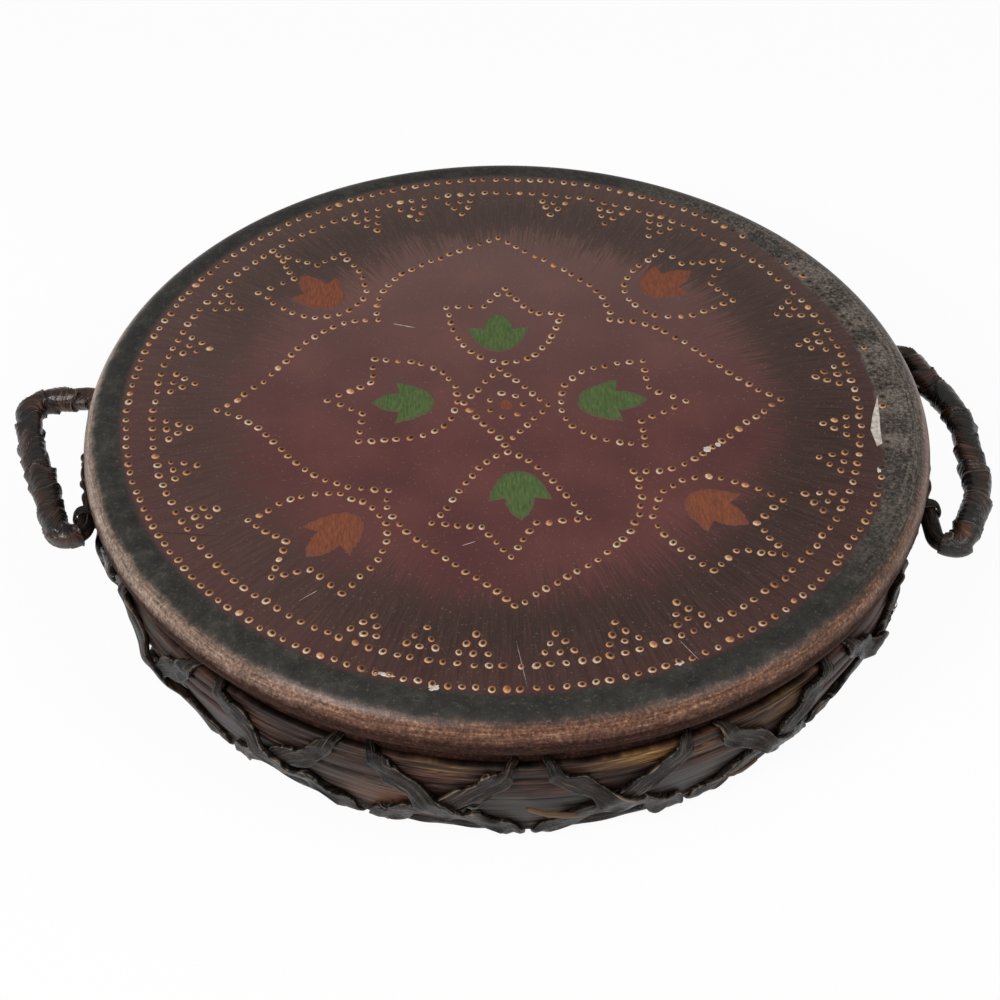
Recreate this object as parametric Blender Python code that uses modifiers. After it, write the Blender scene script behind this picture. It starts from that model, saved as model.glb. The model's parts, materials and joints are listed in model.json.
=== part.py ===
"""Hide-headed frame drum with two wrapped carrying handles, as an assembly of its separate pieces.

Metres, +Z up. The origin is on the floor, on the drum's axis, and the handles lie along X.
A hide is stretched over a bent rim hoop round a tapered wooden shell. Its turned-down skirt is
stiffened by a cane band, and sixteen rawhide thongs pass through the skirt above the band, cross
each other on the side of the drum and tuck under a lower hoop that is wedged on the taper.
"""
import math

import bmesh
import bpy
import numpy as np
from mathutils import Matrix, Vector

# Drum, overall
HEIGHT = 0.095             # floor to the playing face
RIM_RADIUS = 0.207         # outside of the rolled edge
RIM_DEPTH = 0.012          # the rolled edge's reach outside the shell's top
ROLL = 0.0125              # section radius of the rolled edge
SKIN = 0.002               # hide thickness
SHELL_WALL = 0.008
SHELL_TAPER = 0.0165       # radius that the shell loses from top to bottom
CLEAR = 0.0003             # gap between pieces that bear on each other
RING_STEPS = 64            # facets round the drum

# Skirt of the hide and the cane band round it
UNDERCUT = 0.009           # rolled edge's underside to the band's top
BAND_HEIGHT = 0.022
BAND_THICK = 0.0055
BAND_CROWN = 0.0012        # the band's face swells by this much at mid height
SKIRT_TUCK = 0.003         # the hide stops this far above the band's lower edge
ROLL_END = -70.0           # degrees, where the roll turns in to the skirt
PANEL_THICK = 0.0025       # board between the band and the lower hoop
AXIS_X = 0.00412           # drum's axis from the middle of the whole part, along X

# Lacing
LACES = 16
LACE_WIDTH = 0.009
LACE_THICK = 0.002
LACE_CORD = 0.003          # side of the thong where it is rolled to pass the hide
LACE_CLEAR = 0.0006        # gap from a thong to what it bends round
CROSS_CLEAR = 0.0007       # gap between two thongs where they cross
HOLE_ROOM = 0.0016         # hole's width and height over those of the thong
BIGHT_ROOM = 0.0014        # gap from a thong's bight out to the hide, where it turns
HOLE_AZIMUTH = 2.05        # degrees from a thong's apex to each of its holes
LEG_TOP_AZIMUTH = 3.3      # degrees from the apex where a leg leaves the band's top
LEG_END_AZIMUTH = 20.0     # degrees from the apex where a leg meets the lower hoop
LEG_RUN_ON = 0.9           # degrees that a leg still gains as it turns under
TUCK_END = -190.0          # degrees round the lower hoop's section where the end is tucked
LOWER_HOOP_RADIUS = 0.004  # section radius
FLOOR_GAP = 0.0004         # thongs stay this far off the floor

# Handles
CORE_RADIUS = 0.0045       # bent cane
WRAP_THICK = 0.002         # leather strip
WRAP_CLEAR = 0.0006        # strip to cane, with room for the strip's facets
WRAP_TURNS = 17
WRAP_GAP = 0.0011          # gap between turns, along the cane
WRAP_STEPS = 10            # points a turn
WRAP_EDGE = 0.0006         # the strip thins by this much at its edges
WRAP_START = 0.0095        # the wrapping starts this far out from the hinge line
PEG_INSIDE = 0.005         # the pegs reach this far past the keepers' middle
LEFT_REACH = 0.0385        # hinge line to the middle of the grip
RIGHT_REACH = 0.0312
LEFT_ARMS = (0.0535, -0.046)    # y of the back and the front arm
RIGHT_ARMS = (0.069, -0.071)
BEND_RADIUS = 0.009        # cane, at the hinge end of a straight arm
CORNER_RADIUS = 0.012      # cane, at the left grip's back corner
BOW_RADIUS = 0.045         # cane, along the right grip
HOOK_RADIUS = 0.0065       # cane, at a returned end
HOOK_DEPTH = 0.012

# Keepers, the rawhide eyes that hold the handles' pegs
LEFT_KEEPERS = (0.0415, -0.034)    # y of the back and the front keeper
RIGHT_KEEPERS = (0.048, -0.048)
KEEPER_WIDTH = 0.005
KEEPER_WALL = 0.0016
KEEPER_CLEAR = 0.0004      # eye to peg
KEEPER_DROP = 0.0045       # hinge line below the band's top
SHANK_THICK = 0.0036
KNOT_RADIUS = 0.0048

# Levels and radii that follow from these
shell_top = HEIGHT - SKIN - CLEAR
shell_top_radius = RIM_RADIUS - RIM_DEPTH
roll_radius = RIM_RADIUS - ROLL
roll_level = HEIGHT - ROLL
band_top = HEIGHT - 2 * ROLL - UNDERCUT
band_bottom = band_top - BAND_HEIGHT
hole_level = band_top + LACE_CLEAR + LACE_CORD / 2


def shell_radius(level):
    """Outer radius of the tapered shell at a height."""
    return shell_top_radius - SHELL_TAPER * (shell_top - level) / shell_top


bight_radius = shell_radius(hole_level) + LACE_CLEAR + LACE_CORD / 2
skirt_inner = bight_radius + LACE_CORD / 2 + BIGHT_ROOM
skirt_outer = skirt_inner + SKIN
band_inner = skirt_outer + CLEAR
band_outer = band_inner + BAND_THICK
lace_radius = band_outer + LACE_CLEAR + LACE_THICK / 2
hoop_level = FLOOR_GAP + LACE_THICK + LACE_CLEAR + LOWER_HOOP_RADIUS
hoop_radius = shell_radius(hoop_level) + 2 * LACE_CLEAR + LACE_THICK + LOWER_HOOP_RADIUS
turn_radius = LOWER_HOOP_RADIUS + LACE_CLEAR + LACE_THICK / 2
hinge_level = band_top - KEEPER_DROP
eye_radius = CORE_RADIUS + KEEPER_CLEAR


def hinge_distance(keepers):
    """Distance of a handle's hinge line from the drum's axis, so that its eyes just clear the band."""
    near_y = min(abs(y) for y in keepers) - KEEPER_WIDTH / 2
    return math.sqrt(band_outer ** 2 - near_y ** 2) + CLEAR + KEEPER_WALL + eye_radius


# each handle: side, hinge line, keepers and arms
left = (-1, hinge_distance(LEFT_KEEPERS), LEFT_KEEPERS, LEFT_ARMS)
right = (1, hinge_distance(RIGHT_KEEPERS), RIGHT_KEEPERS, RIGHT_ARMS)

for old in list(bpy.data.objects):
    bpy.data.objects.remove(old, do_unlink=True)

drum = bpy.data.collections.new("frame_drum")
cutters = bpy.data.collections.new("cutters")
for group in (drum, cutters):
    bpy.context.scene.collection.children.link(group)


def material(name, colour, roughness):
    """A plain dielectric finish from a linear colour."""
    made = bpy.data.materials.new(name)
    made.use_nodes = True
    shader = made.node_tree.nodes["Principled BSDF"]
    shader.inputs["Base Color"].default_value = (*colour, 1.0)
    shader.inputs["Roughness"].default_value = roughness
    shader.inputs["Metallic"].default_value = 0.0
    return made


HIDE = material("stained_hide", (0.055, 0.033, 0.028), 0.45)
WOOD = material("bent_wood", (0.060, 0.045, 0.036), 0.60)
CANE = material("split_cane", (0.150, 0.075, 0.032), 0.55)
RAWHIDE = material("rawhide_thong", (0.045, 0.034, 0.027), 0.65)
LEATHER = material("wrapped_leather", (0.026, 0.019, 0.016), 0.50)


def add_object(name, data, finish, group=drum):
    """Link an object with its finish, shaded smooth with sharp edges kept."""
    made = bpy.data.objects.new(name, data)
    group.objects.link(made)
    if finish:
        data.materials.append(finish)
    if isinstance(data, bpy.types.Mesh):
        data.shade_smooth()
    return made


def arc(centre, radius, start, end, steps):
    """Points (x, y) on an arc, angles in degrees."""
    angles = [math.radians(start + (end - start) * k / steps) for k in range(steps + 1)]
    return [(centre[0] + radius * math.cos(a), centre[1] + radius * math.sin(a)) for a in angles]


def turned(name, profile, closed, finish):
    """Turn a profile of (radius, level) points about Z; it runs down its outer side."""
    mesh = bpy.data.meshes.new(name)
    count = len(profile)
    edges = [(k, k + 1) for k in range(count - 1)]
    if closed:
        edges.append((count - 1, 0))
    mesh.from_pydata([(r, 0.0, z) for r, z in profile], edges, [])
    made = add_object(name, mesh, finish)
    screw = made.modifiers.new("turn", "SCREW")
    screw.axis = "Z"
    screw.angle = 2 * math.pi
    screw.steps = RING_STEPS
    screw.render_steps = RING_STEPS
    screw.use_merge_vertices = True
    screw.merge_threshold = 1e-5
    screw.use_smooth_shade = True
    return made


def loft(name, rings, finish):
    """Skin rings of matching points, one after another, and cap both ends."""
    shape = bmesh.new()
    rows = [[shape.verts.new(p) for p in ring] for ring in rings]
    for row, after in zip(rows, rows[1:]):
        for k in range(len(row)):
            turn = (k + 1) % len(row)
            shape.faces.new((row[k], row[turn], after[turn], after[k]))
    shape.faces.new(rows[0][::-1])
    shape.faces.new(rows[-1])
    bmesh.ops.recalc_face_normals(shape, faces=shape.faces)
    mesh = bpy.data.meshes.new(name)
    shape.to_mesh(mesh)
    shape.free()
    made = add_object(name, mesh, finish)
    mesh.set_sharp_from_angle(angle=math.radians(50))
    return made


def boxes(name, places):
    """One cutter of boxes, each given as (4x4 place, size)."""
    shape = bmesh.new()
    for place, size in places:
        bmesh.ops.create_cube(shape, size=1.0, matrix=place @ Matrix.Diagonal((*size, 1.0)))
    mesh = bpy.data.meshes.new(name)
    shape.to_mesh(mesh)
    shape.free()
    cutter = add_object(name, mesh, None, cutters)
    cutter.hide_render = True
    cutter.display_type = "WIRE"
    return cutter


def cut(target, cutter):
    """Take the cutter's boxes out of a piece."""
    boolean = target.modifiers.new("holes", "BOOLEAN")
    boolean.operation = "DIFFERENCE"
    boolean.solver = "EXACT"
    boolean.object = cutter


def apex_angles():
    """Azimuth of each thong's apex, starting on +X."""
    return [2 * math.pi * k / LACES for k in range(LACES)]


def make_holes():
    """Cutters for the thongs' holes in the hide and for the keepers' slots."""
    side = LACE_CORD + HOLE_ROOM
    through = 4 * SKIN
    middle = (skirt_inner + skirt_outer) / 2
    lace_places = []
    for apex in apex_angles():
        for offset in (-HOLE_AZIMUTH, HOLE_AZIMUTH):
            turn = Matrix.Rotation(apex + math.radians(offset), 4, "Z")
            place = turn @ Matrix.Translation((middle, 0.0, hole_level))
            lace_places.append((place, (through, side, side)))
    depth = band_outer - shell_radius(0.0) + 2 * SHELL_WALL
    keeper_places = []
    for x_side, hinge_x, keepers, _ in (left, right):
        for keeper_y in keepers:
            place = Matrix.Translation((x_side * hinge_x, keeper_y, hinge_level))
            slot = (2 * (depth + RIM_DEPTH), KEEPER_WIDTH + 2 * CLEAR, SHANK_THICK + 2 * CLEAR)
            keeper_places.append((place, slot))
    return boxes("lace_holes", lace_places), boxes("keeper_slots", keeper_places)


def make_drum(lace_holes, keeper_slots):
    """The hide, the rim hoop in its roll, the shell, the cane band, the side board and the lower hoop."""
    roll = arc((roll_radius, roll_level), ROLL, 90, ROLL_END, 7)
    # the skirt leaves the roll in a hollow curve, worked as a quadratic curve with one control point
    start = Vector(roll[-1])
    end = Vector((skirt_outer, hole_level + LACE_CORD))
    control = Vector((skirt_outer, start.y - (start.y - end.y) / 3))
    hollow = []
    for t in (1 / 3, 2 / 3, 1.0):
        point = (1 - t) ** 2 * start + 2 * t * (1 - t) * control + t ** 2 * end
        hollow.append((point.x, point.y))
    hem = (skirt_outer, band_bottom + SKIRT_TUCK)
    head = turned("head_skin", [(0.0, HEIGHT), *roll, *hollow, hem], False, HIDE)
    solid = head.modifiers.new("hide", "SOLIDIFY")
    solid.thickness = SKIN
    solid.offset = -1.0
    solid.use_even_offset = True
    cut(head, lace_holes)
    cut(head, keeper_slots)

    hoop_inner = shell_top_radius + CLEAR
    hoop_section = ROLL - SKIN - CLEAR
    flat = math.degrees(math.acos((hoop_inner - roll_radius) / hoop_section))
    turned("rim_hoop", arc((roll_radius, roll_level), hoop_section, flat, -flat, 7), True, WOOD)

    foot = shell_radius(0.0)
    edge = SHELL_WALL / 4
    shell_profile = [
        (shell_top_radius - edge, shell_top), (shell_top_radius, shell_top - edge), (foot, 0.0),
        (foot - SHELL_WALL, 0.0), (shell_top_radius - SHELL_WALL, shell_top - edge),
        (shell_top_radius - SHELL_WALL + edge, shell_top)]
    cut(turned("shell", shell_profile, True, WOOD), keeper_slots)

    shoulder = band_outer - BAND_CROWN
    band_profile = [
        (shoulder - BAND_CROWN, band_top), (shoulder, band_top - BAND_CROWN),
        (band_outer, (band_top + band_bottom) / 2), (shoulder, band_bottom + BAND_CROWN),
        (shoulder - BAND_CROWN, band_bottom), (band_inner, band_bottom), (band_inner, band_top)]
    cut(turned("cane_band", band_profile, True, CANE), keeper_slots)

    # the board stands on the lower hoop, inside the thongs, and bears up against the band
    panel_top = band_bottom - CLEAR
    panel_foot = hoop_level + 0.75 * LOWER_HOOP_RADIUS + CLEAR
    top_radius = shoulder - BAND_CROWN
    foot_radius = leg_radius(panel_foot) - LACE_THICK / 2 - 2 * LACE_CLEAR
    panel_profile = [
        (top_radius, panel_top), (foot_radius, panel_foot),
        (foot_radius - PANEL_THICK, panel_foot), (top_radius - PANEL_THICK, panel_top)]
    turned("side_panel", panel_profile, True, WOOD)

    section = arc((hoop_radius, hoop_level), LOWER_HOOP_RADIUS, 90, -270, 8)[:-1]
    turned("lower_hoop", section, True, CANE)


def leg_radius(level):
    """Radius of a leg's middle: upright on the band, then in a straight line to the lower hoop."""
    below_band = max(0.0, (band_bottom - level) / (band_bottom - hoop_level))
    return lace_radius + (hoop_radius + turn_radius - lace_radius) * min(1.0, below_band)


def leg_rows(side, over):
    """One leg of a thong from the middle of its apex to its tucked end.

    Each row is (azimuth from the apex, radius, level, tilt of its face from outward towards up, in
    degrees, width, thickness). A leg that passes over the other is lifted by one thickness where
    the two cross, half a pitch from the apex.
    """
    top = band_top - LACE_THICK
    rise = LACE_CLEAR + LACE_THICK / 2
    rows = [
        (0.65 * HOLE_AZIMUTH, bight_radius + 0.1 * LACE_CORD, hole_level, 90, LACE_CORD, LACE_CORD),
        (HOLE_AZIMUTH, skirt_inner, hole_level, 90, LACE_CORD, LACE_CORD),
        (HOLE_AZIMUTH, band_inner + rise, hole_level, 90, LACE_CORD, LACE_CORD),
        (0.6 * HOLE_AZIMUTH + 0.4 * LEG_TOP_AZIMUTH, band_outer - rise, hole_level, 75,
         1.2 * LACE_CORD, LACE_CORD),
        (0.3 * HOLE_AZIMUTH + 0.7 * LEG_TOP_AZIMUTH, lace_radius - LACE_CLEAR / 2,
         band_top + LACE_CLEAR, 35, 0.6 * LACE_WIDTH, LACE_THICK)]

    half_pitch = 180.0 / LACES
    cross = (half_pitch - LEG_TOP_AZIMUTH) / (LEG_END_AZIMUTH - LEG_TOP_AZIMUTH)
    drop = top - hoop_level
    length = math.hypot(drop, math.radians(LEG_END_AZIMUTH - LEG_TOP_AZIMUTH) * lace_radius)
    flat = 0.78 * LACE_WIDTH / length
    ramp = flat + LACE_WIDTH / length
    for t in (0.0, 0.14, cross - ramp, cross - flat, cross, cross + flat, cross + ramp, 0.86, 1.0):
        level = top - drop * t
        radius = leg_radius(level)
        # the face follows the slope of the side, so that crossing legs stay parallel
        reach = LACE_WIDTH / 3
        slope = (leg_radius(level + reach) - leg_radius(level - reach)) / (2 * reach)
        if over and abs(t - cross) < (flat + ramp) / 2:
            radius += LACE_THICK + CROSS_CLEAR
        azimuth = LEG_TOP_AZIMUTH + (LEG_END_AZIMUTH - LEG_TOP_AZIMUTH) * t
        width = LACE_WIDTH * (0.8 if t == 0.0 else 1.0)
        rows.append((azimuth, radius, level, -math.degrees(math.atan(slope)), width, LACE_THICK))

    for k in range(1, 7):
        turn = TUCK_END * k / 6
        eased = math.sin(math.radians(min(90.0, -turn)))
        azimuth = LEG_END_AZIMUTH + LEG_RUN_ON * eased
        rows.append((azimuth, hoop_radius + turn_radius * math.cos(math.radians(turn)),
                     hoop_level + turn_radius * math.sin(math.radians(turn)), turn,
                     LACE_WIDTH * (1.0 - 0.05 * k), LACE_THICK))
    return [(side * azimuth, *rest) for azimuth, *rest in rows]


def make_lace(name, apex):
    """A thong: two legs from one bight behind the hide, the one to +azimuth passing over."""
    middle = (0.0, bight_radius, hole_level, 90, LACE_CORD, LACE_CORD)
    rows = [*reversed(leg_rows(-1, False)), middle, *leg_rows(1, True)]
    centres = []
    outward = []
    for azimuth, radius, level, tilt, _, _ in rows:
        turn = apex + math.radians(azimuth)
        radial = Vector((math.cos(turn), math.sin(turn), 0.0))
        centres.append(radius * radial + Vector((0.0, 0.0, level)))
        lean = math.radians(tilt)
        outward.append(math.cos(lean) * radial + math.sin(lean) * Vector((0.0, 0.0, 1.0)))
    rings = []
    last = len(rows) - 1
    for k, (centre, face) in enumerate(zip(centres, outward)):
        along = (centres[min(k + 1, last)] - centres[max(k - 1, 0)]).normalized()
        across = face.cross(along).normalized() * rows[k][4] / 2
        face = along.cross(across).normalized() * rows[k][5] / 2
        rings.append([centre + across + face, centre - across + face,
                      centre - across - face, centre + across - face])
    return loft(name, rings, RAWHIDE)


def rounded_path(corners, spacing):
    """Points along a chain of straight runs whose corners (x, y, radius) are rounded by arcs."""
    points = [Vector(corners[0][:2])]
    for before, corner, after in zip(corners, corners[1:], corners[2:]):
        here = Vector(corner[:2])
        arrive = (here - Vector(before[:2])).normalized()
        leave = (Vector(after[:2]) - here).normalized()
        bend = arrive.angle_signed(leave)
        setback = corner[2] * math.tan(abs(bend) / 2)
        start = here - arrive * setback
        inward = Vector((arrive.y, -arrive.x)) * math.copysign(1.0, bend)
        centre = start + inward * corner[2]
        steps = max(2, math.ceil(corner[2] * abs(bend) / spacing))
        for k in range(steps + 1):
            spoke = start - centre
            spoke.rotate(Matrix.Rotation(-bend * k / steps, 2))
            points.append(centre + spoke)
    points.append(Vector(corners[-1][:2]))
    return points


def handle_corners(side):
    """Corners of a handle's cane in plan, (out from the hinge line, along it, rounding radius).

    Both return to a peg on the hinge line. The left one has a square back corner and a slanting
    grip, the right one an even bow.
    """
    _, _, keepers, (back, front) = side
    if side is left:
        middle = [(0.0, back, BEND_RADIUS), (LEFT_REACH, back, CORNER_RADIUS),
                  (0.85 * LEFT_REACH, back / 3, 2 * BOW_RADIUS)]
    else:
        middle = [(0.0, back, HOOK_RADIUS), (HOOK_DEPTH, back, HOOK_RADIUS),
                  (RIGHT_REACH, back / 4, BOW_RADIUS), (0.92 * RIGHT_REACH, front / 2, BOW_RADIUS)]
    return [(0.0, keepers[0] - PEG_INSIDE), *middle, (HOOK_DEPTH, front, HOOK_RADIUS),
            (0.0, front, HOOK_RADIUS), (0.0, keepers[1] + PEG_INSIDE)]


def make_handle(name, side):
    """A bent cane on the hinge line, and the strip wound round its grip in one unbroken run."""
    x_side, hinge_x, _, _ = side
    pivot = bpy.data.objects.new(name + "_hinge", None)
    pivot.location = (x_side * hinge_x, 0.0, hinge_level)
    drum.objects.link(pivot)
    path = [Vector((x_side * p.x, p.y)) for p in rounded_path(handle_corners(side), 0.004)]

    cane = bpy.data.curves.new(name + "_core", "CURVE")
    cane.dimensions = "3D"
    cane.bevel_depth = CORE_RADIUS
    cane.bevel_resolution = 2
    cane.render_resolution_u = 0
    cane.use_fill_caps = True
    spline = cane.splines.new("POLY")
    spline.points.add(len(path) - 1)
    for point, place in zip(spline.points, path):
        point.co = (place.x, place.y, 0.0, 1.0)
    core = add_object(name + "_core", cane, CANE)
    weld = core.modifiers.new("caps", "WELD")
    weld.merge_threshold = 1e-5
    core.parent = pivot

    plan = np.array([(p.x, p.y) for p in rounded_path(handle_corners(side), 0.0008)])
    travel = np.concatenate([[0.0], np.cumsum(np.linalg.norm(np.diff(plan, axis=0), axis=1))])
    even = np.arange(0.0, travel[-1], 0.0008)
    plan = np.stack([np.interp(even, travel, plan[:, k]) for k in (0, 1)], axis=1)
    travel = even
    out = np.flatnonzero(plan[:, 0] > WRAP_START)
    first, final = travel[out[0]], travel[out[-1]]
    pitch = (final - first) / (WRAP_TURNS + 1)
    half = (pitch - WRAP_GAP) / 2
    inner = CORE_RADIUS + WRAP_CLEAR
    outer = inner + WRAP_THICK
    slope = np.gradient(plan, travel, axis=0)

    def on_cane(distance, height, turn):
        """A point at a distance along the cane and a height off its middle, turned round it."""
        place = np.array([np.interp(distance, travel, plan[:, k]) for k in (0, 1)])
        ahead = np.array([np.interp(distance, travel, slope[:, k]) for k in (0, 1)])
        ahead = ahead / np.linalg.norm(ahead)
        flat = place + height * math.cos(turn) * np.array([ahead[1], -ahead[0]])
        return Vector((x_side * flat[0], flat[1], height * math.sin(turn)))

    rings = []
    for k in range(WRAP_TURNS * WRAP_STEPS + 1):
        turn = 2 * math.pi * k / WRAP_STEPS
        middle = first + pitch / 2 + pitch * k / WRAP_STEPS
        rings.append([on_cane(middle - half, inner, turn), on_cane(middle - half, outer - WRAP_EDGE, turn),
                      on_cane(middle, outer, turn), on_cane(middle + half, outer - WRAP_EDGE, turn),
                      on_cane(middle + half, inner, turn)])
    wrap = loft(name + "_wrap", rings, LEATHER)
    wrap.parent = pivot

    spots = np.array([[tuple(p) for p in ring] for ring in rings])
    least = min(np.linalg.norm(spots[k, 3:, None] - spots[k + WRAP_STEPS, None, :2], axis=-1).min()
                for k in range(len(rings) - WRAP_STEPS))
    print(f"{name}_wrap: {WRAP_TURNS} turns, least gap to itself {1000 * least:.2f} mm")


def make_keeper(name, side, keeper_y):
    """A rawhide eye round a peg, its shank through the band, hide and shell, knotted inside."""
    x_side, hinge_x, _, _ = side
    far_y = abs(keeper_y) + KEEPER_WIDTH / 2
    wall_inside = math.sqrt((shell_radius(hinge_level) - SHELL_WALL) ** 2 - far_y ** 2)
    knot_x = wall_inside - 2 * CLEAR - KNOT_RADIUS
    ring = eye_radius + KEEPER_WALL
    neck = math.degrees(math.asin(SHANK_THICK / 2 / KNOT_RADIUS))
    collar = math.degrees(math.asin(SHANK_THICK / 2 / ring))
    outline = [*arc((knot_x, 0.0), KNOT_RADIUS, neck, 360 - neck, 8),
               *arc((hinge_x, 0.0), ring, -180 + collar, 180 - collar, 14)]
    eye = arc((hinge_x, 0.0), eye_radius, 0, 360, 14)[:-1]
    shape = bpy.data.curves.new(name, "CURVE")
    shape.dimensions = "2D"
    shape.fill_mode = "BOTH"
    shape.extrude = KEEPER_WIDTH / 2
    shape.render_resolution_u = 0
    for loop in (outline, eye):
        spline = shape.splines.new("POLY")
        spline.points.add(len(loop) - 1)
        spline.use_cyclic_u = True
        for point, place in zip(spline.points, loop):
            point.co = (place[0], place[1], 0.0, 1.0)
    keeper = add_object(name, shape, RAWHIDE)
    weld = keeper.modifiers.new("caps", "WELD")
    weld.merge_threshold = 1e-5
    upright = Matrix.Rotation(math.pi / 2, 4, "X")
    facing = Matrix.Rotation(0.0 if x_side > 0 else math.pi, 4, "Z")
    keeper.matrix_world = Matrix.Translation((0.0, keeper_y, hinge_level)) @ facing @ upright


lace_holes, keeper_slots = make_holes()
make_drum(lace_holes, keeper_slots)
for number, apex in enumerate(apex_angles(), start=1):
    make_lace(f"lace_{number:02d}", apex)
for side_name, side in (("left", left), ("right", right)):
    make_handle(side_name + "_handle", side)
    for end_name, keeper_y in zip(("back", "front"), side[2]):
        make_keeper(f"{side_name}_keeper_{end_name}", side, keeper_y)
# The left handle reaches further out than the right one, so the drum's axis stands off the origin
axis = bpy.data.objects.new("drum_axis", None)
axis.location.x = AXIS_X
drum.objects.link(axis)
for piece in bpy.data.objects:
    if piece.parent is None and piece != axis:
        piece.parent = axis
print(f"hinge lines: left {AXIS_X - left[1]:.6f}, right {AXIS_X + right[1]:.6f}, level {hinge_level:.4f}")
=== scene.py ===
"""Looks of the hide-headed frame drum: its stained and punched head, side lacing and wound handles.

Metres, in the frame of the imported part: +Z up, handles along X, origin on the floor. Every new piece
is a surface worked out with numpy on a grid of two parameters, about the drum's own axis, which
stands a little off the origin.
"""
import json
import math

import bpy
import numpy as np
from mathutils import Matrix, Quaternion, Vector


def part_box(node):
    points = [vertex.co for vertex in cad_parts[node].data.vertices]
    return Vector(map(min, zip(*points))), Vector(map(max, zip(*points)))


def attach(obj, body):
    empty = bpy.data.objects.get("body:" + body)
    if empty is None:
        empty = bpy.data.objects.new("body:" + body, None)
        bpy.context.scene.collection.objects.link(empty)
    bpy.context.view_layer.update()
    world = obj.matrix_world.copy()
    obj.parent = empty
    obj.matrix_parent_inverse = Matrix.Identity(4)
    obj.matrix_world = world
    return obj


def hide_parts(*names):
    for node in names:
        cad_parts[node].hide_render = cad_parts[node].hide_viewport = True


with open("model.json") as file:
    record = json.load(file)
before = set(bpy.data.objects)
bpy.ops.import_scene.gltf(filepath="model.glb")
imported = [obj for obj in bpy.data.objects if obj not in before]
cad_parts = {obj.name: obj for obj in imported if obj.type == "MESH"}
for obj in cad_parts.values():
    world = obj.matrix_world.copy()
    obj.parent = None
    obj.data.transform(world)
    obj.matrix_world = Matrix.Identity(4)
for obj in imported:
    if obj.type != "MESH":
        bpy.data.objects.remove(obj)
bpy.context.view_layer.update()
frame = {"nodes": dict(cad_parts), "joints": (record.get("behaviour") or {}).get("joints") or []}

MM = 0.001

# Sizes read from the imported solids
head_low, head_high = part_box("head_skin")
band_low, band_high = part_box("cane_band")
hoop_low, hoop_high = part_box("lower_hoop")
shell_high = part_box("shell")[1]
panel_low, panel_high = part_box("side_panel")
hinges = {joint["child"]: Vector(joint["pos_m"]) for joint in frame["joints"]}
AXIS = np.array([(head_low.x + head_high.x) / 2, 0.0, 0.0])
HEIGHT = head_high.z
RIM_RADIUS = head_high.y
BAND_TOP = band_high.z
BAND_BOTTOM = band_low.z
BAND_OUTER = band_high.y
HOOP_SECTION = (hoop_high.z - hoop_low.z) / 2
HOOP_LEVEL = hoop_low.z + HOOP_SECTION
HOOP_RADIUS = hoop_high.y - HOOP_SECTION
SHELL_TOP = shell_high.z
SHELL_TOP_RADIUS = shell_high.y
HINGE_LEVEL = hinges["right_handle"].z

# Sizes of the hide, the shell and the band that no box gives
ROLL = 12.5 * MM             # section radius of the rolled edge
ROLL_END = -70.0             # degrees, where the roll turns in to the skirt
SKIN = 2.0 * MM
SKIRT_TUCK = 3.0 * MM
SHELL_WALL = 8.0 * MM
SHELL_TAPER = 16.5 * MM
PANEL_THICK = 2.5 * MM
BAND_THICK = 5.5 * MM
CLEAR = 0.3 * MM
ROLL_RADIUS = RIM_RADIUS - ROLL
ROLL_LEVEL = HEIGHT - ROLL

# Lacing
LACES = 16
LACE_WIDTH = 9.0 * MM
LACE_THICK = 2.0 * MM
LACE_CORD = 3.0 * MM
LACE_CLEAR = 0.6 * MM
CROSS_CLEAR = 0.7 * MM
BIGHT_ROOM = 1.4 * MM
LACE_ROWS = 190
LACE_SIDES = 20
HOLE_AZIMUTH = 2.05
LEG_TOP_AZIMUTH = 3.3
LEG_END_AZIMUTH = 20.0
LEG_RUN_ON = 0.9
TUCK_END = -190.0
HOLE_LEVEL = BAND_TOP + LACE_CLEAR + LACE_CORD / 2
LACE_RADIUS = BAND_OUTER + LACE_CLEAR + LACE_THICK / 2
TURN_RADIUS = HOOP_SECTION + LACE_CLEAR + LACE_THICK / 2
BAND_INNER = BAND_OUTER - BAND_THICK
SKIRT_OUTER = BAND_INNER - CLEAR
SKIRT_INNER = SKIRT_OUTER - SKIN
BIGHT_RADIUS = SKIRT_INNER - BIGHT_ROOM - LACE_CORD / 2

# Head ornament, millimetres from the middle of the pattern's paper plan
PLAN_SHIFT = np.array([-4.7, -1.5])
RING_CENTRE = (4.4, 1.7)
RING_RADII = (184.9, 172.2)
RING_COUNTS = (182, 162)
DOT_SPACING = 6.1
WIDE_SPACING = 6.4           # in the diamond and the triangles
DOT_RADIUS = 2.00
DOT_STRAY = 0.32             # how far a dot strays from its place
OUTLINE_POINTS = 144         # points in each painted or flaked outline


def shell_radius(level):
    """Outer radius of the tapered shell at a height."""
    return SHELL_TOP_RADIUS - SHELL_TAPER * (SHELL_TOP - level) / SHELL_TOP


# Arrays, curves and meshes

def ripple(seed, low, high):
    """A smooth random curve of period 2 pi: sines of whole numbers of waves, low to high, fading."""
    rng = np.random.default_rng(seed)
    counts = np.arange(low, high + 1)
    sizes = rng.normal(size=len(counts)) / np.sqrt(len(counts))
    phases = rng.uniform(0.0, 2 * np.pi, len(counts))

    def curve(angle):
        return np.sum(sizes * np.sin(np.asarray(angle)[..., None] * counts + phases), axis=-1)
    return curve


def swell(seed, wavelength, count=9):
    """A smooth random field over a plane: sines along random directions, about one wavelength long."""
    rng = np.random.default_rng(seed)
    turns = rng.uniform(0.0, 2 * np.pi, count)
    lengths = wavelength * rng.uniform(0.6, 1.8, count)
    phases = rng.uniform(0.0, 2 * np.pi, count)

    def field(x, y):
        across = np.asarray(x)[..., None] * np.cos(turns) + np.asarray(y)[..., None] * np.sin(turns)
        return np.sum(np.sin(2 * np.pi * across / lengths + phases), axis=-1) / np.sqrt(count)
    return field


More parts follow.
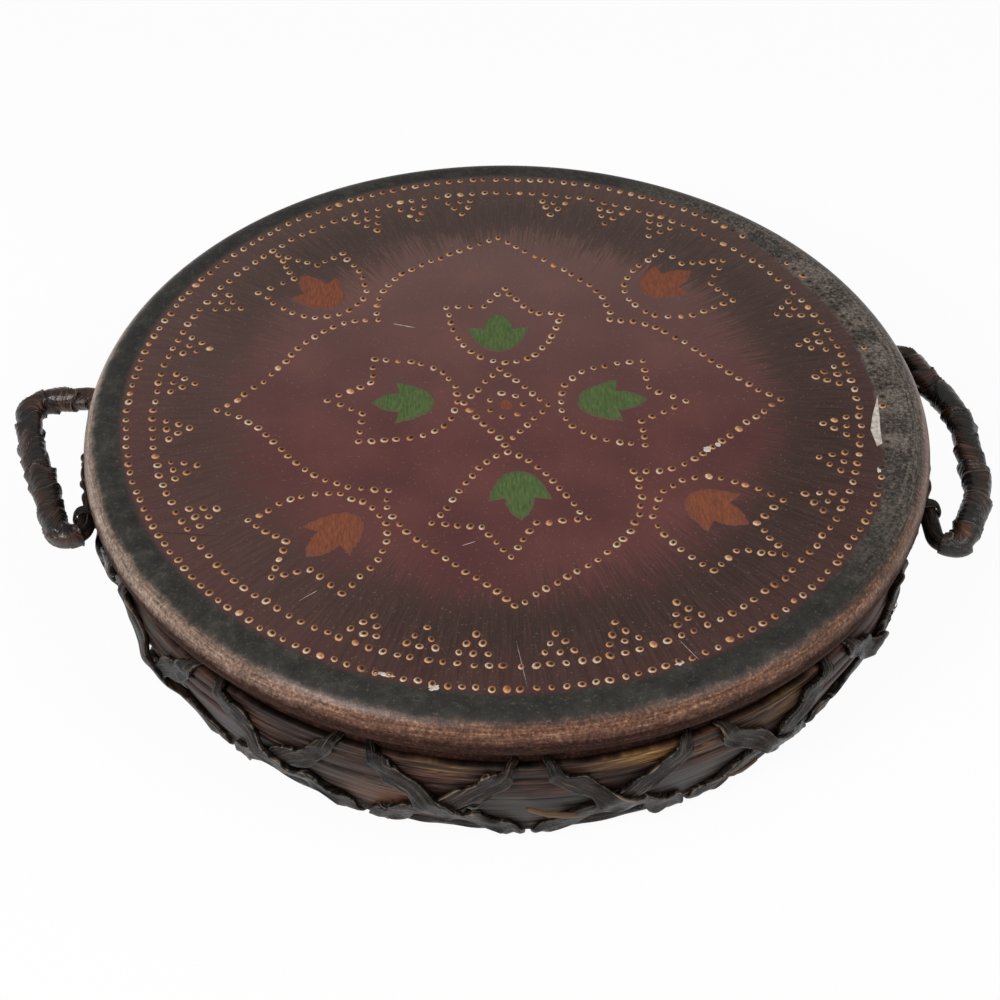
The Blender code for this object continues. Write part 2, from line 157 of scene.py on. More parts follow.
def spline(points, count):
    """A smooth curve through rows of values: cubic pieces whose slopes come from the neighbours.

    The rows are spaced by the distance between their first three values.
    """
    rows = np.asarray(points, float)
    step = np.linalg.norm(np.diff(rows[:, :3], axis=0), axis=1)
    knots = np.concatenate([[0.0], np.cumsum(np.maximum(step, 1e-6))])
    slopes = np.gradient(rows, knots, axis=0)
    where = np.linspace(0.0, knots[-1], count)
    k = np.clip(np.searchsorted(knots, where, side="right") - 1, 0, len(knots) - 2)
    span = (knots[k + 1] - knots[k])[:, None]
    t = ((where - knots[k])[:, None]) / span
    start = (1 + 2 * t) * (1 - t) ** 2 * rows[k] + t * (1 - t) ** 2 * span * slopes[k]
    end = t ** 2 * (3 - 2 * t) * rows[k + 1] + t ** 2 * (t - 1) * span * slopes[k + 1]
    return start + end


def bezier(start, first, second, end, count=40):
    """Points on a cubic curve with two control points."""
    t = np.linspace(0.0, 1.0, count)[:, None]
    p0, p1, p2, p3 = (np.asarray(p, float) for p in (start, first, second, end))
    return (1 - t) ** 3 * p0 + 3 * t * (1 - t) ** 2 * p1 + 3 * t ** 2 * (1 - t) * p2 + t ** 3 * p3


def unit(vectors):
    """Vectors along the last axis, scaled to length one."""
    return vectors / np.maximum(np.linalg.norm(vectors, axis=-1, keepdims=True), 1e-12)


def grid_faces(rows, columns, ring=False):
    """Corner numbers of the quads of a grid whose columns close; ring also closes its rows."""
    number = np.arange(rows * columns).reshape(rows, columns)
    after = np.roll(number, -1, axis=1)
    quads = np.stack([number[:-1], after[:-1], after[1:], number[1:]], axis=-1).reshape(-1, 4)
    if ring:
        seam = np.stack([number[-1], after[-1], after[0], number[0]], axis=-1)
        quads = np.concatenate([quads, seam])
    return quads


def cap_faces(row, centre, first):
    """Triangles from a closed row of corners to one centre corner, turned by which end it is."""
    after = np.roll(row, -1)
    hub = np.full_like(row, centre)
    return np.stack([after, row, hub] if first else [row, after, hub], axis=-1)


def volume(points, triangles):
    """Six times the signed volume inside a closed set of triangles."""
    a, b, c = (points[triangles[:, k]] for k in range(3))
    return np.sum(a * np.cross(b, c))


def build(name, points, quads, triangles, finish, marks=None, uv=None):
    """Make a smooth mesh object from corners about the drum's axis, faces, attributes and a UV map."""
    split = np.concatenate([quads[:, [0, 1, 2]], quads[:, [0, 2, 3]], triangles])
    if volume(points, split) < 0:
        quads = quads[:, ::-1]
        triangles = triangles[:, ::-1]
    mesh = bpy.data.meshes.new(name)
    corners = np.concatenate([quads.ravel(), triangles.ravel()]).astype(np.int32)
    starts = np.concatenate([4 * np.arange(len(quads)), 4 * len(quads) + 3 * np.arange(len(triangles))])
    mesh.vertices.add(len(points))
    mesh.vertices.foreach_set("co", (points + AXIS).astype(np.float32).ravel())
    mesh.loops.add(len(corners))
    mesh.loops.foreach_set("vertex_index", corners)
    mesh.polygons.add(len(starts))
    mesh.polygons.foreach_set("loop_start", starts.astype(np.int32))
    mesh.update(calc_edges=True)
    mesh.validate()
    mesh.shade_smooth()
    for key, values in (marks or {}).items():
        mark = mesh.attributes.new(key, "FLOAT", "POINT")
        mark.data.foreach_set("value", values.astype(np.float32).ravel())
    if uv is not None:
        mesh.uv_layers.new(name="UVMap").data.foreach_set("uv", uv[corners].astype(np.float32).ravel())
    mesh.materials.append(finish)
    made = bpy.data.objects.new(name, mesh)
    bpy.context.scene.collection.objects.link(made)
    return made


def skin(name, grid, finish, ring=False, marks=None, uv=None):
    """A closed surface from a grid (rows, columns, 3): a ring, or a tube closed by a fan at each end."""
    rows, columns = grid.shape[:2]
    points = grid.reshape(-1, 3)
    quads = grid_faces(rows, columns, ring)
    triangles = np.zeros((0, 3), int)
    marks = {key: values.reshape(-1) for key, values in (marks or {}).items()}
    uv = None if uv is None else uv.reshape(-1, 2)
    if not ring:
        number = np.arange(rows * columns).reshape(rows, columns)
        points = np.concatenate([points, [grid[0].mean(axis=0)], [grid[-1].mean(axis=0)]])
        triangles = np.concatenate([cap_faces(number[0], rows * columns, True),
                                    cap_faces(number[-1], rows * columns + 1, False)])
        ends = (number[0, 0], number[-1, 0])
        marks = {key: np.append(values, values[list(ends)]) for key, values in marks.items()}
        uv = None if uv is None else np.concatenate([uv, uv[list(ends)]])
    return build(name, points, quads, triangles, finish, marks, uv)


def stack_tubes(grids):
    """Corners, quads and cap triangles of many closed tubes, from grids (tubes, rows, columns, 3)."""
    count, rows, columns = grids.shape[:3]
    each = rows * columns + 2
    hubs = np.stack([grids[:, 0].mean(axis=1), grids[:, -1].mean(axis=1)], axis=1)
    points = np.concatenate([grids.reshape(count, -1, 3), hubs], axis=1).reshape(-1, 3)
    number = np.arange(rows * columns).reshape(rows, columns)
    triangles = np.concatenate([cap_faces(number[0], rows * columns, True),
                                cap_faces(number[-1], rows * columns + 1, False)])
    shift = (each * np.arange(count))[:, None, None]
    return points, (grid_faces(rows, columns) + shift).reshape(-1, 4), (triangles + shift).reshape(-1, 3)


def stack_marks(values):
    """Corner values for stacked tubes, (tubes, rows, columns), with those of the two hubs added."""
    count = len(values)
    return np.concatenate([values.reshape(count, -1), values[:, 0, :1], values[:, -1, :1]], axis=1).ravel()


def turned(profile, azimuths):
    """Grid of a profile (rows of radius and level, or one profile for each azimuth) turned about Z."""
    radius, level = profile[..., 0], profile[..., 1]
    if profile.ndim == 2:
        radius = radius[:, None] * np.ones_like(azimuths)
        level = level[:, None] * np.ones_like(azimuths)
    return np.stack([radius * np.cos(azimuths), radius * np.sin(azimuths), level], axis=-1)


def around(count):
    """Even azimuths round the drum."""
    return 2 * np.pi * np.arange(count) / count


def near(azimuths, degrees, width):
    """A bump of height one round the drum, centred on an azimuth, with a width in degrees."""
    off = np.angle(np.exp(1j * (azimuths - math.radians(degrees))))
    return np.exp(-(off / math.radians(width)) ** 2)


# Materials

def linear(colour):
    """Linear colour, with alpha, of an sRGB hex value such as #8a5a40."""
    parts = np.array([int(colour[k:k + 2], 16) for k in (1, 3, 5)]) / 255.0
    low = parts / 12.92
    high = ((parts + 0.055) / 1.055) ** 2.4
    return (*np.where(parts <= 0.04045, low, high), 1.0)


def add(tree, kind, sockets=None, stops=None, **settings):
    """Add a node with its settings; sockets holds values or other nodes' outputs to link."""
    made = tree.nodes.new(kind)
    for key, value in settings.items():
        setattr(made, key, value)
    for key, value in (sockets or {}).items():
        if isinstance(value, bpy.types.NodeSocket):
            tree.links.new(value, made.inputs[key])
        else:
            made.inputs[key].default_value = value
    for k, (position, colour) in enumerate(stops or ()):
        ramp = made.color_ramp.elements
        element = ramp[k] if k < 2 else ramp.new(position)
        element.position = position
        element.color = linear(colour)
    return made


def finish_base(name, **sockets):
    """A material with its tree and its shader, whose constant sockets are set here."""
    made = bpy.data.materials.new(name)
    made.use_nodes = True
    shader = made.node_tree.nodes["Principled BSDF"]
    for key, value in sockets.items():
        shader.inputs[key.replace("_", " ")].default_value = value
    return made, made.node_tree, shader


def stained_field(tree, place, radius, stroke, patch, left):
    """Colour of the face, and how dark it is: plum, stained by feathered strokes, with pale dust."""
    # the stain's inner edge, moved in and out by strokes and patches
    jag = add(tree, "ShaderNodeMath", {0: stroke, 1: 0.105, 2: radius}, operation="MULTIPLY_ADD").outputs[0]
    edge = add(tree, "ShaderNodeMath", {0: patch, 1: 0.035, 2: jag}, operation="MULTIPLY_ADD").outputs[0]
    stain = add(tree, "ShaderNodeMapRange", {"Value": edge, "From Min": 0.187, "From Max": 0.213},
                interpolation_type="SMOOTHSTEP").outputs[0]
    relax = add(tree, "ShaderNodeMapRange", {"Value": radius, "From Min": 0.158, "From Max": 0.180,
                                             "To Min": 1.0, "To Max": 0.80}).outputs[0]
    dark = add(tree, "ShaderNodeMath", {0: stain, 1: relax}, operation="MULTIPLY").outputs[0]
    plum = add(tree, "ShaderNodeValToRGB", {"Fac": patch},
               stops=[(0.30, "#543232"), (0.70, "#653d3a"), (0.50, "#5c3836")]).outputs[0]
    soot = add(tree, "ShaderNodeValToRGB", {"Fac": stroke},
               stops=[(0.35, "#322523"), (0.68, "#4c3732"), (0.50, "#3e2e2a")]).outputs[0]
    faded = add(tree, "ShaderNodeMapRange",
                {"Value": left, "From Min": 0.45, "From Max": 0.95, "To Max": 0.26}).outputs[0]
    sooty = add(tree, "ShaderNodeMix", {0: faded, 6: soot, 7: linear("#6c4e4a")},
                data_type="RGBA").outputs[2]
    field = add(tree, "ShaderNodeMix", {0: dark, 6: plum, 7: sooty}, data_type="RGBA").outputs[2]
    # dust and small scuffs, about 0.5 mm
    dust = add(tree, "ShaderNodeTexNoise",
               {"Vector": place, "Scale": 1 / (1.1 * MM), "Detail": 2.0}).outputs["Fac"]
    specks = add(tree, "ShaderNodeMapRange", {"Value": dust, "From Min": 0.65, "From Max": 0.76,
                                              "To Max": 0.40}).outputs[0]
    dusty = add(tree, "ShaderNodeMix", {0: specks, 6: field, 7: linear("#8d7a70")},
                data_type="RGBA").outputs[2]
    return dusty, dark


def charcoal_border(tree, dusty, radius, right, smudge, grit):
    """Colour of the face with its charcoal border, outside the outer ring of dots, and the border's share."""
    spread = add(tree, "ShaderNodeMapRange", {"Value": right, "From Min": 0.80, "From Max": 0.93,
                                              "To Max": 0.0065}).outputs[0]
    moved = add(tree, "ShaderNodeMath", {0: radius, 1: spread}, operation="ADD").outputs[0]
    rough_edge = add(tree, "ShaderNodeMath", {0: smudge, 1: 0.005, 2: moved},
                     operation="MULTIPLY_ADD").outputs[0]
    border = add(tree, "ShaderNodeMapRange", {"Value": rough_edge, "From Min": 0.1888, "From Max": 0.1922},
                 interpolation_type="SMOOTHSTEP").outputs[0]
    charcoal = add(tree, "ShaderNodeValToRGB", {"Fac": smudge},
                   stops=[(0.30, "#252321"), (0.74, "#45423c"), (0.52, "#32302d")]).outputs[0]
    ash = add(tree, "ShaderNodeMapRange",
              {"Value": grit, "From Min": 0.56, "From Max": 0.70, "To Max": 0.5}).outputs[0]
    dusted = add(tree, "ShaderNodeMix", {0: ash, 6: charcoal, 7: linear("#6f6a60")},
                 data_type="RGBA").outputs[2]
    plain = add(tree, "ShaderNodeMix", {0: border, 6: dusty, 7: dusted}, data_type="RGBA").outputs[2]
    return plain, border


def rubbed_grain(tree, spoke, turn, smudge, grit):
    """A speckle for the roll: streaks rubbed along the edge, with grit in them.

    Inside the drum nothing rubs, so the streaks give way to smudges.
    """
    # streaks up to 1 mm tall and 19 mm long
    tall = add(tree, "ShaderNodeMath", {0: turn, 1: 0.02}, operation="MULTIPLY").outputs[0]
    drop = add(tree, "ShaderNodeCombineXYZ", {"Z": tall}).outputs[0]
    rub_place = add(tree, "ShaderNodeVectorMath", {0: spoke, 1: drop}, operation="ADD").outputs[0]
    rub = add(tree, "ShaderNodeTexNoise", {"Vector": rub_place, "Scale": 11.0, "Detail": 3.0,
                                           "Roughness": 0.6}).outputs["Fac"]
    calm = add(tree, "ShaderNodeMapRange", {"Value": turn, "From Min": 120.0, "From Max": 150.0}).outputs[0]
    streaks = add(tree, "ShaderNodeMix", {0: calm, 2: rub, 3: smudge}).outputs[0]
    half = add(tree, "ShaderNodeMix", {0: 0.68, 2: streaks, 3: grit}).outputs[0]
    return half


def painted_grey_sheen(tree, plain, off, right, border, dark, half):
    """Colour of the face under a painted grey sheen: a painted glancing reflection over the field at the
    back, and painted sheen with grey-brown dust over the border at the right.
    """
    across = add(tree, "ShaderNodeSeparateXYZ", {"Vector": off}).outputs["Y"]
    # the back of the field is painted paler and greyer, a painted glancing sheen
    back_sheen_share = add(tree, "ShaderNodeMapRange",
                 {"Value": across, "From Min": -0.03, "From Max": 0.15, "To Max": 0.26}).outputs[0]
    # the border at the right is painted paler in mottled patches, partly painted sheen and partly grey-brown
    # dust
    flank = add(tree, "ShaderNodeMapRange",
                {"Value": right, "From Min": 0.55, "From Max": 0.95, "To Max": 1.0}).outputs[0]
    cloud = add(tree, "ShaderNodeMapRange", {"Value": half, "From Min": 0.44, "From Max": 0.64}).outputs[0]
    right_sheen_and_dust = add(tree, "ShaderNodeMath", {0: flank, 1: cloud}, operation="MULTIPLY").outputs[0]
    clear = add(tree, "ShaderNodeMapRange", {"Value": dark, "To Min": 1.0, "To Max": 0.35}).outputs[0]
    back_sheen = add(tree, "ShaderNodeMath", {0: back_sheen_share, 1: clear}, operation="MULTIPLY").outputs[0]
    sheen_and_dust = add(tree, "ShaderNodeMix", {0: border, 2: back_sheen, 3: right_sheen_and_dust}).outputs[0]
    bordered = add(tree, "ShaderNodeMix", {0: sheen_and_dust, 6: plain, 7: linear("#8b7d73")},
                   data_type="RGBA").outputs[2]
    return bordered


def roll_wear_and_painted_light(tree, bordered, turn, left, right, smudge, half):
    """Colour of the whole hide, and where the copper band starts and falls away, by how far the roll has
    turned. The band is worn hide and a painted highlight, paler on the left as a painted highlight; past it
    the underside, hollow and inside take a painted shade.
    """
    held = add(tree, "ShaderNodeMapRange", {"Value": right, "From Min": 0.55, "From Max": 0.95,
                                            "To Max": -5.0}).outputs[0]
    later = add(tree, "ShaderNodeMath", {0: turn, 1: held}, operation="ADD").outputs[0]
    ragged = add(tree, "ShaderNodeMath", {0: smudge, 1: 34.0, 2: later},
                 operation="MULTIPLY_ADD").outputs[0]
    starts = add(tree, "ShaderNodeMapRange", {"Value": ragged, "From Min": 40.0, "From Max": 70.0},
                 interpolation_type="SMOOTHSTEP").outputs[0]
    # copper on the roll's outer curve, where it turns towards the lamps and camera: worn hide and a painted
    # highlight
    copper = add(tree, "ShaderNodeValToRGB", {"Fac": half},
                 stops=[(0.32, "#25160f"), (0.70, "#bd9777"), (0.45, "#4e3224"),
                        (0.54, "#77503b")]).outputs[0]
    left_highlight_beige = add(tree, "ShaderNodeValToRGB", {"Fac": half},
                stops=[(0.36, "#3a3029"), (0.66, "#c9b8aa"), (0.50, "#8d7768")]).outputs[0]
    # the left side of the roll is painted paler beige, a painted highlight
    pale = add(tree, "ShaderNodeMapRange", {"Value": left, "From Min": 0.55, "From Max": 0.95,
                                            "To Max": 0.8}).outputs[0]
    copper_wear_and_highlight = add(tree, "ShaderNodeMix", {0: pale, 6: copper, 7: left_highlight_beige}, data_type="RGBA").outputs[2]
    worn = add(tree, "ShaderNodeMix", {0: starts, 6: bordered, 7: copper_wear_and_highlight}, data_type="RGBA").outputs[2]
    # past the band the roll's underside, the hollow and the inside are painted dark reddish brown, a painted
    # shade
    falls = add(tree, "ShaderNodeMapRange", {"Value": ragged, "From Min": 72.0, "From Max": 106.0},
                interpolation_type="SMOOTHSTEP").outputs[0]
    under = add(tree, "ShaderNodeValToRGB", {"Fac": half},
                stops=[(0.38, "#1a100d"), (0.68, "#684336"), (0.54, "#38231c")]).outputs[0]
    whole = add(tree, "ShaderNodeMix", {0: falls, 6: worn, 7: under}, data_type="RGBA").outputs[2]
    return whole, starts, falls


def stained_rawhide():
    """Rawhide stretched wet, stained by brush in plum and charcoal, and polished by hands at its edge.

    The eye sees a satin plum field, feathered dark strokes running outward, a charcoal border and
    a roll that is worn through to speckled copper brown. The roll's copper is also a painted highlight,
    paler on the left, and its underside is a painted shade; a painted grey sheen lies over the back
    of the field and, with grey-brown dust, over the border at the right.
    """
    made, tree, shader = finish_base("stained_rawhide")
    place = add(tree, "ShaderNodeTexCoord").outputs["Object"]
    centre = AXIS + (*(PLAN_SHIFT + RING_CENTRE) * MM, 0.0)
    off = add(tree, "ShaderNodeVectorMath", {0: place, 1: centre}, operation="SUBTRACT").outputs[0]
    flat = add(tree, "ShaderNodeVectorMath", {0: off, 1: (1.0, 1.0, 0.0)}, operation="MULTIPLY").outputs[0]
    radius = add(tree, "ShaderNodeVectorMath", {0: flat}, operation="LENGTH").outputs["Value"]
    spoke = add(tree, "ShaderNodeVectorMath", {0: flat}, operation="NORMALIZE").outputs[0]
    left = add(tree, "ShaderNodeVectorMath", {0: spoke, 1: (-0.98, -0.2, 0.0)},
               operation="DOT_PRODUCT").outputs["Value"]
    right = add(tree, "ShaderNodeVectorMath", {0: spoke, 1: (0.975, 0.22, 0.0)},
                operation="DOT_PRODUCT").outputs["Value"]
    # degrees that the surface has turned down from level
    turn = add(tree, "ShaderNodeAttribute", attribute_name="turn").outputs["Fac"]
    # brush strokes up to 1.3 mm wide and 21 mm long at the stain's edge
    reach = add(tree, "ShaderNodeMath", {0: radius, 1: 0.40}, operation="MULTIPLY").outputs[0]
    lift = add(tree, "ShaderNodeCombineXYZ", {"Z": reach}).outputs[0]
    stroke_place = add(tree, "ShaderNodeVectorMath", {0: spoke, 1: lift}, operation="ADD").outputs[0]
    stroke = add(tree, "ShaderNodeTexNoise", {"Vector": stroke_place, "Scale": 120.0, "Detail": 6.0,
                                              "Roughness": 0.72}).outputs["Fac"]
    patch = add(tree, "ShaderNodeTexNoise",
                {"Vector": place, "Scale": 1 / (45 * MM), "Detail": 3.0}).outputs["Fac"]
    smudge = add(tree, "ShaderNodeTexNoise", {"Vector": place, "Scale": 1 / (9 * MM), "Detail": 5.0,
                                              "Roughness": 0.7}).outputs["Fac"]
    grit = add(tree, "ShaderNodeTexNoise", {"Vector": place, "Scale": 1 / (1.6 * MM), "Detail": 6.0,
                                            "Roughness": 0.75}).outputs["Fac"]
    dusty, dark = stained_field(tree, place, radius, stroke, patch, left)
    plain, border = charcoal_border(tree, dusty, radius, right, smudge, grit)
    half = rubbed_grain(tree, spoke, turn, smudge, grit)
    bordered = painted_grey_sheen(tree, plain, off, right, border, dark, half)
    whole, starts, falls = roll_wear_and_painted_light(tree, bordered, turn, left, right, smudge, half)
    tree.links.new(whole, shader.inputs["Base Color"])
    gloss = add(tree, "ShaderNodeMapRange", {"Value": starts, "To Min": 0.46, "To Max": 0.34}).outputs[0]
    dull = add(tree, "ShaderNodeMath", {0: falls, 1: 0.4, 2: gloss}, operation="MULTIPLY_ADD").outputs[0]
    tree.links.new(dull, shader.inputs["Roughness"])
    polish = add(tree, "ShaderNodeMapRange", {"Value": starts, "To Min": 0.14, "To Max": 0.42}).outputs[0]
    kept = add(tree, "ShaderNodeMapRange", {"Value": falls, "To Min": 1.0, "To Max": 0.12}).outputs[0]
    sheen = add(tree, "ShaderNodeMath", {0: polish, 1: kept}, operation="MULTIPLY").outputs[0]
    tree.links.new(sheen, shader.inputs["Specular IOR Level"])
    # pores and the drawn-out grain of the stretched hide
    pores = add(tree, "ShaderNodeTexNoise",
                {"Vector": place, "Scale": 1 / (0.8 * MM), "Detail": 3.0}).outputs["Fac"]
    raised = add(tree, "ShaderNodeMath", {0: stroke, 1: 0.7, 2: pores}, operation="MULTIPLY_ADD").outputs[0]
    bump = add(tree, "ShaderNodeBump",
               {"Height": raised, "Strength": 0.30, "Distance": 0.3 * MM}).outputs[0]
    tree.links.new(bump, shader.inputs["Normal"])
    return made


def punched_lip():
    """The pale inside of the hide, turned out round each punched hole, some of it still painted.

    A matt straw-gold ring, lighter or more orange from dot to dot, painted lighter on its front-left side as
    a painted highlight, round a hole painted dark as its shade.
    """
    made, tree, shader = finish_base("punched_hide_lip", Roughness=0.55)
    tone = add(tree, "ShaderNodeAttribute", attribute_name="tone").outputs["Fac"]
    hole = add(tree, "ShaderNodeAttribute", attribute_name="hole").outputs["Fac"]
    gold = add(tree, "ShaderNodeValToRGB", {"Fac": tone},
               stops=[(0.0, "#403630"), (1.0, "#eadccb"), (0.10, "#74432a"), (0.32, "#b0713f"),
                      (0.55, "#cf9563"), (0.82, "#dfb48c")]).outputs[0]
    place = add(tree, "ShaderNodeTexCoord").outputs["Object"]
    mottle = add(tree, "ShaderNodeTexNoise",
                 {"Vector": place, "Scale": 1 / (0.9 * MM), "Detail": 3.0}).outputs["Fac"]
    shade = add(tree, "ShaderNodeMapRange", {"Value": mottle, "From Min": 0.35, "From Max": 0.65,
                                             "To Min": 0.45, "To Max": 0.0}).outputs[0]
    dirty = add(tree, "ShaderNodeMix", {0: shade, 6: gold, 7: linear("#6d4a34")},
                data_type="RGBA").outputs[2]
    # the hole is painted near black, a painted shade for its depth
    with_painted_hole_shade = add(tree, "ShaderNodeMix", {0: hole, 6: dirty, 7: linear("#150d0a")},
                  data_type="RGBA").outputs[2]
    tree.links.new(with_painted_hole_shade, shader.inputs["Base Color"])
    bump = add(tree, "ShaderNodeBump",
               {"Height": mottle, "Strength": 0.3, "Distance": 0.15 * MM}).outputs[0]
    tree.links.new(bump, shader.inputs["Normal"])
    return made


def brushed_paint(name, deep, mid, pale):
    """Thin casein paint laid by brush: matt, streaked along the strokes, thin at its edge."""
    made, tree, shader = finish_base(name, Roughness=0.58)
    place = add(tree, "ShaderNodeTexCoord").outputs["Object"]
    slid = add(tree, "ShaderNodeMapping", {"Vector": place, "Rotation": (0.0, 0.0, 0.5),
                                           "Scale": (1.0, 0.2, 1.0)}).outputs[0]
    streak = add(tree, "ShaderNodeTexNoise", {"Vector": slid, "Scale": 1 / (0.9 * MM), "Detail": 4.0,
                                              "Roughness": 0.65}).outputs["Fac"]
    tint = add(tree, "ShaderNodeValToRGB", {"Fac": streak},
               stops=[(0.30, deep), (0.72, pale), (0.50, mid)]).outputs[0]
    rim = add(tree, "ShaderNodeAttribute", attribute_name="rim").outputs["Fac"]
    frayed = add(tree, "ShaderNodeMath", {0: streak, 1: 0.35, 2: rim}, operation="MULTIPLY_ADD").outputs[0]
    thin = add(tree, "ShaderNodeMapRange", {"Value": frayed, "From Min": 1.00, "From Max": 1.20,
                                            "To Max": 0.8}).outputs[0]
    edged = add(tree, "ShaderNodeMix", {0: thin, 6: tint, 7: linear("#5c3a37")},
                data_type="RGBA").outputs[2]
    tree.links.new(edged, shader.inputs["Base Color"])
    bump = add(tree, "ShaderNodeBump",
               {"Height": streak, "Strength": 0.2, "Distance": 0.15 * MM}).outputs[0]
    tree.links.new(bump, shader.inputs["Normal"])
    return made


def bare_hide():
    """Chalky underside of the paint where the top of the hide has flaked away."""
    made, tree, shader = finish_base("flaked_hide", Roughness=0.75)
    place = add(tree, "ShaderNodeTexCoord").outputs["Object"]
    mottle = add(tree, "ShaderNodeTexNoise",
                 {"Vector": place, "Scale": 1 / (2 * MM), "Detail": 4.0}).outputs["Fac"]
    chalk = add(tree, "ShaderNodeValToRGB", {"Fac": mottle},
                stops=[(0.30, "#948a80"), (0.62, "#cfc6be"), (0.48, "#b9afa6")]).outputs[0]
    tree.links.new(chalk, shader.inputs["Base Color"])
    bump = add(tree, "ShaderNodeBump", {"Height": mottle, "Strength": 0.4, "Distance": 0.3 * MM}).outputs[0]
    tree.links.new(bump, shader.inputs["Normal"])
    return made


def dried_rawhide():
    """Rawhide thongs dried hard and dark: grey-brown, fibrous along their length, pale on the edges, where
    the pale streaks are wear and a painted highlight.
    """
    made, tree, shader = finish_base("dried_rawhide_thong", Specular_IOR_Level=0.2)
    run = add(tree, "ShaderNodeTexCoord").outputs["UV"]
    # fibres up to 0.9 mm wide and 22 mm long
    drawn = add(tree, "ShaderNodeMapping",
                {"Vector": run, "Scale": (1 / (0.9 * MM), 1 / (22 * MM), 1.0)}).outputs[0]
    fibre = add(tree, "ShaderNodeTexNoise", {"Vector": drawn, "Scale": 1.0, "Detail": 5.0,
                                             "Roughness": 0.65}).outputs["Fac"]
    tone = add(tree, "ShaderNodeAttribute", attribute_name="tone").outputs["Fac"]
    edge = add(tree, "ShaderNodeAttribute", attribute_name="edge").outputs["Fac"]
    grey = add(tree, "ShaderNodeValToRGB", {"Fac": fibre},
               stops=[(0.37, "#060504"), (0.68, "#74685d"), (0.49, "#171310"),
                      (0.57, "#2e2722")]).outputs[0]
    brown = add(tree, "ShaderNodeValToRGB", {"Fac": fibre},
                stops=[(0.37, "#080504"), (0.68, "#6c4e39"), (0.49, "#1c120c"),
                       (0.57, "#33221a")]).outputs[0]
    body = add(tree, "ShaderNodeMix", {0: tone, 6: grey, 7: brown}, data_type="RGBA").outputs[2]
    # pale streaks along the edges: worn edges and a painted highlight
    worn = add(tree, "ShaderNodeMath", {0: fibre, 1: edge}, operation="MULTIPLY").outputs[0]
    pale = add(tree, "ShaderNodeMapRange",
               {"Value": worn, "From Min": 0.40, "From Max": 0.62, "To Max": 0.75}).outputs[0]
    edged = add(tree, "ShaderNodeMix", {0: pale, 6: body, 7: linear("#938575")},
                data_type="RGBA").outputs[2]
    tree.links.new(edged, shader.inputs["Base Color"])
    rough = add(tree, "ShaderNodeMapRange", {"Value": fibre, "From Min": 0.4, "From Max": 0.62,
                                             "To Min": 0.26, "To Max": 0.46}).outputs[0]
    tree.links.new(rough, shader.inputs["Roughness"])
    # dents and folds about 5 mm long
    dents = add(tree, "ShaderNodeTexNoise",
                {"Vector": run, "Scale": 1 / (5 * MM), "Detail": 2.0}).outputs["Fac"]
    folded = add(tree, "ShaderNodeMath", {0: dents, 1: 1.4, 2: fibre}, operation="MULTIPLY_ADD").outputs[0]
    bump = add(tree, "ShaderNodeBump", {"Height": folded, "Strength": 1.0, "Distance": 1.0 * MM}).outputs[0]
    tree.links.new(bump, shader.inputs["Normal"])
    return made


def split_cane():
    """Flat splints of cane and bark bent round the drum: maroon-brown, fibrous, golden where rubbed."""
    made, tree, shader = finish_base("split_cane_splint", Specular_IOR_Level=0.25)
    run = add(tree, "ShaderNodeTexCoord").outputs["UV"]
    drawn = add(tree, "ShaderNodeMapping",
                {"Vector": run, "Scale": (1 / (30 * MM), 1 / (1.1 * MM), 1.0)}).outputs[0]
    fibre = add(tree, "ShaderNodeTexNoise", {"Vector": drawn, "Scale": 1.0, "Detail": 5.0,
                                             "Roughness": 0.68}).outputs["Fac"]
    gold = add(tree, "ShaderNodeAttribute", attribute_name="gold").outputs["Fac"]
    red = add(tree, "ShaderNodeAttribute", attribute_name="red").outputs["Fac"]
    seam = add(tree, "ShaderNodeAttribute", attribute_name="seam").outputs["Fac"]
    brown = add(tree, "ShaderNodeValToRGB", {"Fac": fibre},
                stops=[(0.37, "#0b0807"), (0.68, "#6b513c"), (0.48, "#1f1612"),
                       (0.57, "#38281e")]).outputs[0]
    maroon = add(tree, "ShaderNodeValToRGB", {"Fac": fibre},
                 stops=[(0.37, "#0f0807"), (0.68, "#6b4032"), (0.50, "#2d1914")]).outputs[0]
    straw = add(tree, "ShaderNodeValToRGB", {"Fac": fibre},
                stops=[(0.37, "#2a1a0d"), (0.68, "#b48c57"), (0.50, "#614222")]).outputs[0]
    tinted = add(tree, "ShaderNodeMix", {0: red, 6: brown, 7: maroon}, data_type="RGBA").outputs[2]
    rubbed = add(tree, "ShaderNodeMix", {0: gold, 6: tinted, 7: straw}, data_type="RGBA").outputs[2]
    lined = add(tree, "ShaderNodeMix", {0: seam, 6: rubbed, 7: linear("#0f0b09")},
                data_type="RGBA").outputs[2]
    tree.links.new(lined, shader.inputs["Base Color"])
    rough = add(tree, "ShaderNodeMapRange", {"Value": fibre, "From Min": 0.3, "From Max": 0.7,
                                             "To Min": 0.38, "To Max": 0.6}).outputs[0]
    tree.links.new(rough, shader.inputs["Roughness"])
    bump = add(tree, "ShaderNodeBump", {"Height": fibre, "Strength": 0.6, "Distance": 0.5 * MM}).outputs[0]
    tree.links.new(bump, shader.inputs["Normal"])
    return made


